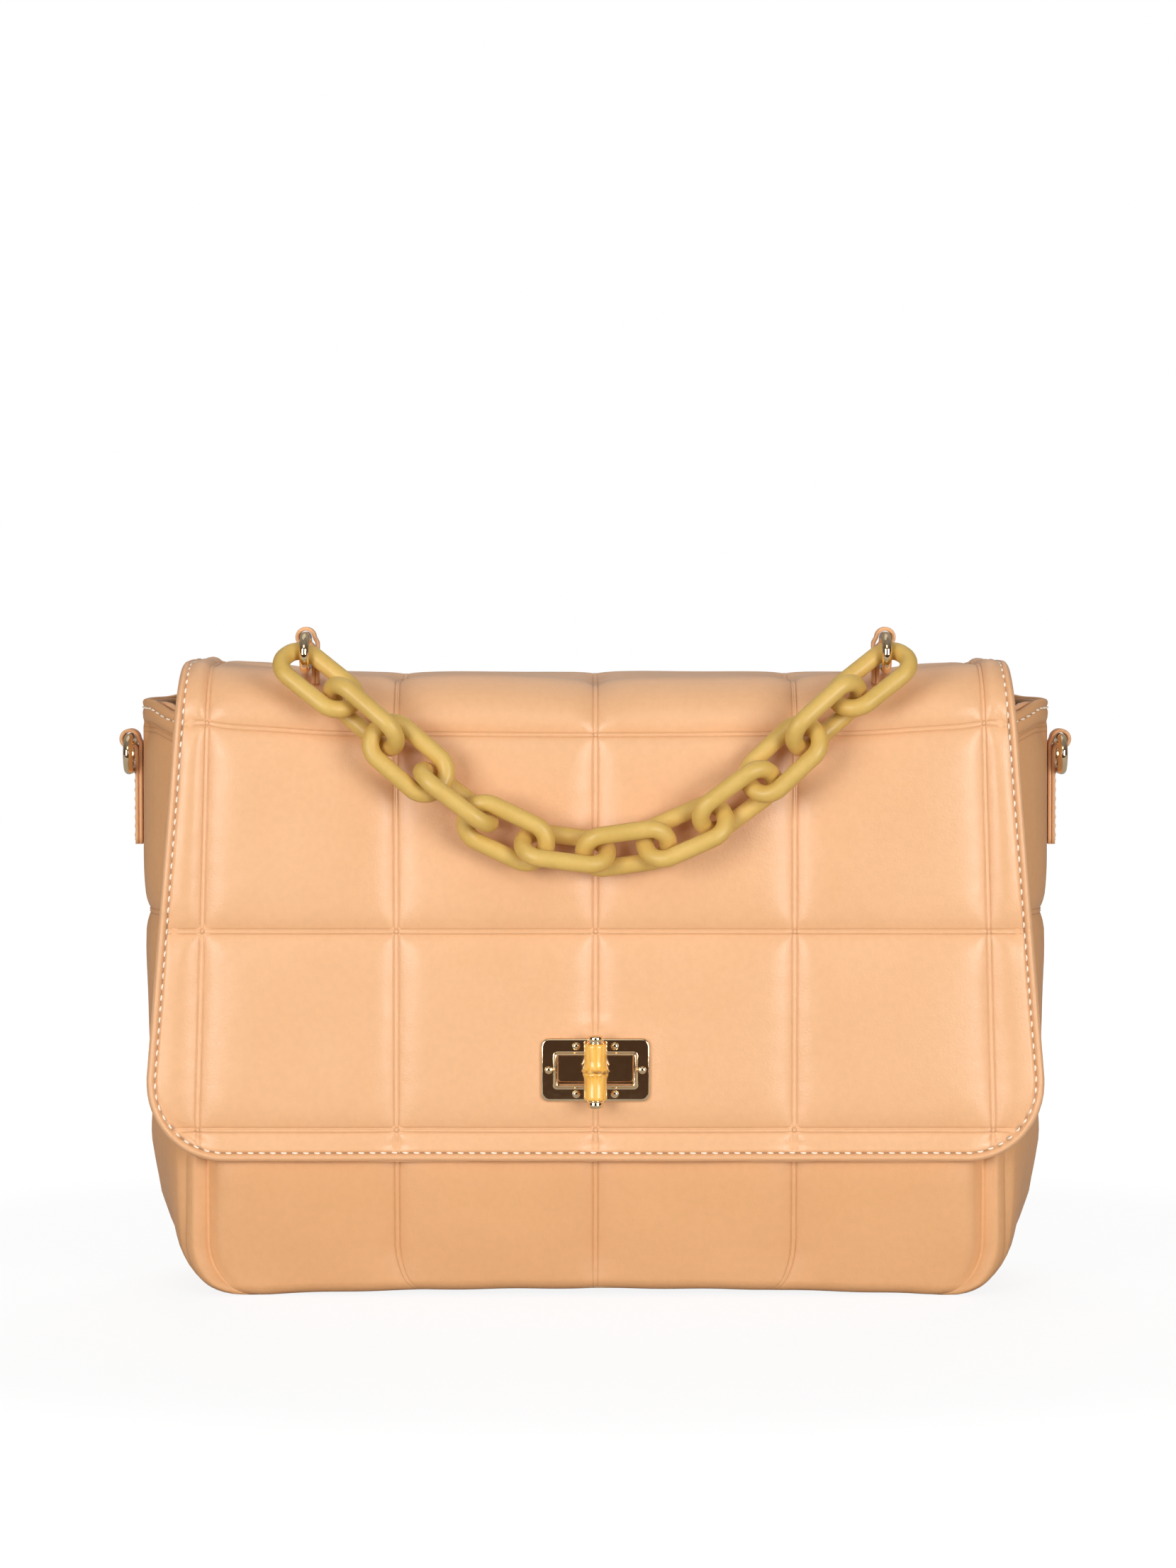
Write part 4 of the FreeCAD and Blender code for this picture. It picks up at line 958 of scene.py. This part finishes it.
def build_hinge_strip():
    """The leather that joins the back panel to the flap and bends at the hinge."""
    xs = samples(-STRIP_HALF, STRIP_HALF, 3.0, ends=2.0)
    z = np.linspace(STRIP_LOW, STRIP_HIGH, 33)
    xx, zz = np.meshgrid(xs, z)
    on_body = np.minimum(zz, STRIP_LEAVES)
    low = FACE + panel_height(xx / seam_at(on_body), on_body, False, BACK_LIP)
    run = np.clip(zz - (FLAP_TOP - REAR_ROUND - LIP_RUN), STRIP_LIP_RUN, None)
    high = flap_points(xx, run, flap_height(xx, run))[..., 1]
    share = smooth((zz - STRIP_TURN) / STRIP_TURN_RUN)
    rest = low * (1 - share) + high * share
    end = np.minimum(np.minimum(zz - STRIP_LOW, STRIP_HIGH - zz), STRIP_HALF - np.abs(xx))
    thick = STRIP_THICK - rounded(end, 0.9) * 0.9
    outer = points_at(xx, rest + thick, zz)
    inner = points_at(xx, rest - STRIP_SUNK, zz)
    strip = add_mesh("hinge_strip", *shell(outer, inner, flip=True), STRAP, None, "leather_cover")
    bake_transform(strip)


# Strap tabs
STRAP_THICK = 1.24
STRAP_EDGE = 0.42
INNER_LEG = -3.85
OUTER_LEG = -2.55
FOLD_RADIUS = 2.85
SIDE_EYE_X = 159.6
SIDE_EYE_Z = 186.0
SIDE_STRAP_WIDTH = 9.0
SIDE_STRAP_FOOT = -36.0
HANDLE_STRAP_WIDTH = 6.2
HANDLE_STRAP_FOOT = -15.5
HANDLE_EYE = (1.9, 5.1)
LEG_FACE = 1.9
THREAD_CLEAR = 0.05
TAB_STITCH_Y = 3.2
TAB_STITCH_Z = (151.5, 179.0)


def strap_path(foot):
    """Middle line of a folded strap seen from its side, the eye at the origin and the legs inside."""
    path = [(INNER_LEG, z) for z in np.linspace(foot, -2.0, 18)]
    path += [(INNER_LEG + 0.9 * smooth(t), -2.0 + 2.2 * t) for t in np.linspace(0.15, 0.9, 5)]
    for a in np.radians(np.linspace(176, -128, 40)):
        path.append((FOLD_RADIUS * math.cos(a), FOLD_RADIUS * math.sin(a)))
    path += [(-2.2, -2.75), (-2.5, -3.6)]
    path += [(OUTER_LEG, z) for z in np.linspace(-4.6, foot, 18)]
    return np.array(path, float)


def build_strap(name, side, eye, width, foot, body, node_name):
    path = strap_path(foot)
    tangent = unit(np.gradient(path, axis=0))
    normal = np.stack([-tangent[:, 1], tangent[:, 0]], axis=-1)
    section = [(y, n) for y, _, n in rounded_ring(width / 2, STRAP_THICK / 2, STRAP_EDGE, 0.0, 4)]
    verts = []
    for (px, pz), (nx, nz) in zip(path, normal):
        for sy, sn in section:
            verts.append((eye[0] + side * (px + nx * sn), eye[1] + sy, eye[2] + (pz + nz * sn)))
    faces = tube_faces(len(path), len(section), flip=side > 0)
    add_mesh(name, verts, faces, STRAP, body, "leather_cover", [node_name])


def build_tabs():
    for label, side in (("left", -1), ("right", 1)):
        eye = (side * SIDE_EYE_X, 0.0, SIDE_EYE_Z)
        build_strap(label + "_strap_tab", side, eye, SIDE_STRAP_WIDTH, SIDE_STRAP_FOOT, "bag_body",
                    label + "_tab")
        face = side * (SIDE_EYE_X - LEG_FACE + THREAD_CLEAR)
        low, high = TAB_STITCH_Z
        rows = [[(face, y, z) for z in np.linspace(low, high, 40)] for y in (-TAB_STITCH_Y, TAB_STITCH_Y)]
        rows += [[(face, y, z) for y in np.linspace(-TAB_STITCH_Y, TAB_STITCH_Y, 12)] for z in (low, high)]
        parts = []
        for row in rows:
            outwards = np.tile([side, 0, 0], (len(row), 1))
            parts.append(stitch_mesh(row, outwards, radius=0.24, pitch=3.1, sunk=0.25))
        add_mesh(label + "_tab_stitching", *join_parts(parts), THREAD, "bag_body")
        low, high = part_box(label + "_handle_ring")
        middle = (low + high) / 2 / MM
        eye = (middle.x, middle.y + HANDLE_EYE[0], middle.z + HANDLE_EYE[1])
        build_strap(label + "_handle_strap", side, eye, HANDLE_STRAP_WIDTH, HANDLE_STRAP_FOOT, "flap",
                    label + "_handle_tab")


# Turn lock. Each step of the plate has a half-width, a half-height, a corner radius and a rise
PLATE_STEPS = (
    (18.15, 10.6, 2.7, 0.0), (18.15, 10.6, 2.7, 0.72), (18.02, 10.47, 2.57, 0.98),
    (17.72, 10.17, 2.3, 1.16), (17.5, 9.95, 2.1, 1.2), (17.2, 9.65, 1.9, 1.2),
    (14.4, 6.45, 1.6, 1.2), (14.15, 6.2, 1.45, 1.2), (13.95, 6.0, 1.3, 1.28),
    (13.78, 5.83, 1.15, 1.5), (13.72, 5.78, 1.1, 1.95), (13.55, 5.6, 1.0, 2.26),
    (13.25, 5.35, 0.9, 2.4), (12.9, 5.2, 0.8, 2.36), (12.6, 5.06, 0.7, 2.15),
    (12.5, 5.0, 0.6, 1.8), (12.5, 5.0, 0.6, 0.0),
)
PLATE_THICK = 1.2
RIVETS = ((-6.4, 8.0), (6.4, 8.0), (-6.4, -8.0), (6.4, -8.0), (-15.6, 0.0), (15.6, 0.0))

# Round profiles: pairs of radius and distance along the line
RIVET_DOME = ((1.3, -0.05), (1.32, 0.08), (1.26, 0.27), (1.08, 0.46), (0.8, 0.6), (0.45, 0.68), (0.1, 0.7))
CAP = (
    (2.3, 0.0), (2.75, 0.02), (2.82, 0.25), (2.74, 0.5), (2.5, 0.62), (2.5, 0.8), (2.56, 0.95),
    (2.56, 2.0), (2.48, 2.4), (2.25, 2.68), (1.8, 2.84), (1.0, 2.9), (0.2, 2.9),
)
CAP_START = 9.33
CANE_HALF = 9.35
CANE_RADIUS = 3.66
BEZEL_RISE = 2.4
GRIP_GAP = 0.6
GRIP_RADIUS = 4.7
CANE_DEPTH = -(FLAP_FACE + BEZEL_RISE + GRIP_GAP + GRIP_RADIUS)


def rounded_ring(half_x, half_z, radius, y, count=10):
    """Points of an upright rounded rectangle, count of them at each corner."""
    ring = []
    for sx, sz, start in ((1, 1, 0), (-1, 1, 90), (-1, -1, 180), (1, -1, 270)):
        middle_x = sx * (half_x - radius)
        middle_z = sz * (half_z - radius)
        for a in np.radians(np.linspace(start, start + 90, count)):
            ring.append((middle_x + radius * math.cos(a), y, middle_z + radius * math.sin(a)))
    return ring


def build_lock_plate():
    rings = [rounded_ring(hx, hz, r, -(FLAP_FACE + rise)) for hx, hz, r, rise in PLATE_STEPS]
    count = len(rings[0])
    verts = [(x, y, z + LOCK_Z) for ring in rings for x, y, z in ring]
    faces = grid_faces(len(rings), count, 0, wrap_cols=True, flip=True)
    last = (len(rings) - 1) * count
    for j in range(count):
        k = (j + 1) % count
        faces.append((last + k, last + j, j, k))
    add_mesh("lock_escutcheon", verts, faces, GOLD, "flap", "gilt_metal", ["lock_plate"])


def lathe(profile, count, place):
    """A round piece about a line, from pairs of radius and distance along it."""
    verts = []
    for radius, along in profile:
        for k in range(count):
            a = 2 * math.pi * k / count
            verts.append(place(radius * math.cos(a), radius * math.sin(a), along))
    return verts, tube_faces(len(profile), count)


def build_rivets():
    parts = []
    front = FLAP_FACE + PLATE_THICK
    for x, z in RIVETS:
        parts.append(lathe(RIVET_DOME, 20, lambda a, b, h: (x + a, -(front + h), LOCK_Z + z + b)))
    add_mesh("lock_rivet_heads", *join_parts(parts), GOLD, "flap", "gilt_metal", ["lock_rivets"])


def cane_radius(h):
    """Radius of the cane at a height from its knot, which is a swelling with a ridge and a groove."""
    r = CANE_RADIUS + 0.26 * (abs(h) / CANE_HALF) ** 2 + 0.8 * bell(h, 1.7)
    r = r + 0.3 * bell(h - 0.4, 0.34) - 0.22 * bell(h + 0.4, 0.28)
    return r - float(rounded(CANE_HALF - abs(h), 0.7)) * 0.6


def build_toggle():
    upper = np.linspace(1.3, 9.2, 16)
    knot = np.linspace(-1.1, 1.1, 13)
    heights = np.concatenate([[-CANE_HALF], np.linspace(-9.2, -1.3, 16), knot, upper, [CANE_HALF]])
    profile = [(0.6, -CANE_HALF)] + [(cane_radius(h), h) for h in heights] + [(0.6, CANE_HALF)]

    def on_cane(a, b, h):
        uneven = 1 + 0.012 * math.sin(5 * math.atan2(b, a))
        return (a * uneven, CANE_DEPTH + b, LOCK_Z + h)

    add_mesh("bamboo_toggle", *lathe(profile, 48, on_cane), BAMBOO, "toggle", "bamboo", ["bamboo_grip"])
    for name, side in (("upper", 1), ("lower", -1)):
        made = lathe(CAP, 36, lambda a, b, h: (a * side, CANE_DEPTH + b, LOCK_Z + side * (CAP_START + h)))
        add_mesh(name + "_gilt_cap", *made, GOLD, "toggle", "gilt_metal", [name + "_grip_cap"])


# Solids that stay as they are
FLAT_PLATES = ("lock_base", "lock_anchor_plate", "flap_back_plate", "toggle_stem")


def dress_solids():
    for name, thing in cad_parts.items():
        look = RESIN if name.startswith("chain_link") else GOLD
        thing.data.materials.clear()
        thing.data.materials.append(BOARD if name == "base_board" else look)
        if name in FLAT_PLATES:
            thing.data.shade_flat()
        else:
            thing.data.shade_smooth()


# Stage, light and camera, with the photo's scale
PHOTO_ROWS = 2212
ROWS_PER_MM = 4.24
CAMERA_DISTANCE = 1.6
CAMERA_TILT = 2.2
CAMERA_AIM = (-2.5, -FLAP_FACE, 172.4)
SENSOR = 36.0
FLOOR_HALF = 3.0
FLOOR_FRONT = -0.56


def background_share(tree, in_gloss):
    """How much of the white background a ray sees: all of it from the camera, a part in reflections."""
    rays = tree.nodes.new("ShaderNodeLightPath").outputs
    mirrored = math_node(tree, "MAXIMUM", rays["Is Glossy Ray"], rays["Is Transmission Ray"])
    mirrored = math_node(tree, "MULTIPLY", mirrored, in_gloss)
    return math_node(tree, "MAXIMUM", rays["Is Camera Ray"], mirrored)


def show_background(tree, share, plain, bright, output):
    """Mixes a bright shader into a plain one by a share of rays."""
    mix = tree.nodes.new("ShaderNodeMixShader")
    for socket, source in zip(mix.inputs, (share, plain.outputs[0], bright.outputs[0])):
        put(tree, socket, source)
    feed(tree, tree.nodes[output], Surface=mix.outputs["Shader"])


def build_stage():
    xs = np.linspace(-FLOOR_HALF, FLOOR_HALF, 13)
    ys = np.linspace(FLOOR_FRONT, FLOOR_HALF, 9)
    verts = [(x, y, 0.0) for y in ys for x in xs]
    faces = grid_faces(len(ys), len(xs))
    mesh = bpy.data.meshes.new("studio_floor")
    mesh.from_pydata(verts, [], faces)
    mesh.shade_smooth()
    floor = bpy.data.objects.new("studio_floor", mesh)
    scene.collection.objects.link(floor)
    material, tree, shader, coords = new_material("studio_white")
    feed(tree, shader, Base_Color=(0.36, 0.36, 0.36, 1.0), Roughness=0.9)
    far = node(tree, "ShaderNodeVectorMath", operation="LENGTH", Vector=coords)
    white = ramp(tree, far.outputs["Value"], [(0.28, grey(0.86)), (0.6, WHITE)])
    glow = node(tree, "ShaderNodeEmission", Color=white, Strength=1.7)
    share = math_node(tree, "MULTIPLY", background_share(tree, 0.2), 0.6)
    show_background(tree, share, shader, glow, "Material Output")
    mesh.materials.append(material)


def aim(thing, place, target):
    thing.location = place
    thing.rotation_euler = (Vector(target) - Vector(place)).to_track_quat("-Z", "Y").to_euler()


def area_light(name, place, target, size, energy, in_gloss=True):
    lamp = bpy.data.lights.new(name, "AREA")
    lamp.shape = "RECTANGLE"
    lamp.size, lamp.size_y = size
    lamp.energy = energy
    thing = bpy.data.objects.new(name, lamp)
    aim(thing, place, target)
    thing.visible_glossy = in_gloss
    scene.collection.objects.link(thing)


def build_light():
    world = bpy.data.worlds.new("studio")
    scene.world = world
    world.use_nodes = True
    tree = world.node_tree
    back = tree.nodes["Background"]
    around = tree.nodes.new("ShaderNodeTexCoord").outputs["Generated"]
    split = node(tree, "ShaderNodeSeparateXYZ", Vector=around)
    room = ramp(tree, split.outputs["Z"], [(0.1, (0.085, 0.05, 0.035)), (0.8, (0.28, 0.28, 0.29))])
    feed(tree, back, Color=room, Strength=0.8)
    white = node(tree, "ShaderNodeBackground", Color=(1.0, 1.0, 1.0, 1.0))
    behind = ramp(tree, split.outputs["Y"], [(0.0, BLACK), (0.4, grey(0.16))])
    show_background(tree, background_share(tree, behind), back, white, "World Output")
    area_light("left_box", (-0.98, -1.5, 0.34), (0, 0, 0.11), (0.85, 0.8), 17.3)
    area_light("right_box", (0.98, -1.5, 0.32), (0, 0, 0.11), (0.8, 0.75), 17.3)
    area_light("front_box", (-0.15, -1.75, 1.35), (0, 0, 0.11), (1.2, 0.6), 3.6)
    area_light("top_box", (-0.2, 0.2, 1.3), (0, 0, 0.1), (1.0, 0.8), 1.0)
    area_light("back_box", (0.1, 1.5, 1.45), (0, 0, 0.1), (1.3, 0.8), 17.0, in_gloss=False)


def build_camera():
    camera = bpy.data.cameras.new("camera")
    thing = bpy.data.objects.new("camera", camera)
    scene.collection.objects.link(thing)
    tall = PHOTO_ROWS / ROWS_PER_MM * MM
    camera.sensor_width = SENSOR
    camera.lens = SENSOR * CAMERA_DISTANCE / tall
    target = Vector([c * MM for c in CAMERA_AIM])
    tilt = math.radians(CAMERA_TILT)
    aim(thing, target + CAMERA_DISTANCE * Vector((0, -math.cos(tilt), math.sin(tilt))), target)
    scene.camera = thing


scene.view_settings.view_transform = "Standard"
dress_solids()
build_flap()
build_flap_stitches()
build_flap_lining()
build_panel("body_front", True, FRONT_LIP, "front_panel")
build_panel("body_back", False, BACK_LIP, "back_panel")
build_gusset("left_side_wall", -1, "left_gusset")
build_gusset("right_side_wall", 1, "right_gusset")
build_base()
build_inside()
build_hinge_strip()
build_tabs()
build_lock_plate()
build_rivets()
build_toggle()
build_stage()
build_light()
build_camera()
bpy.context.view_layer.update()
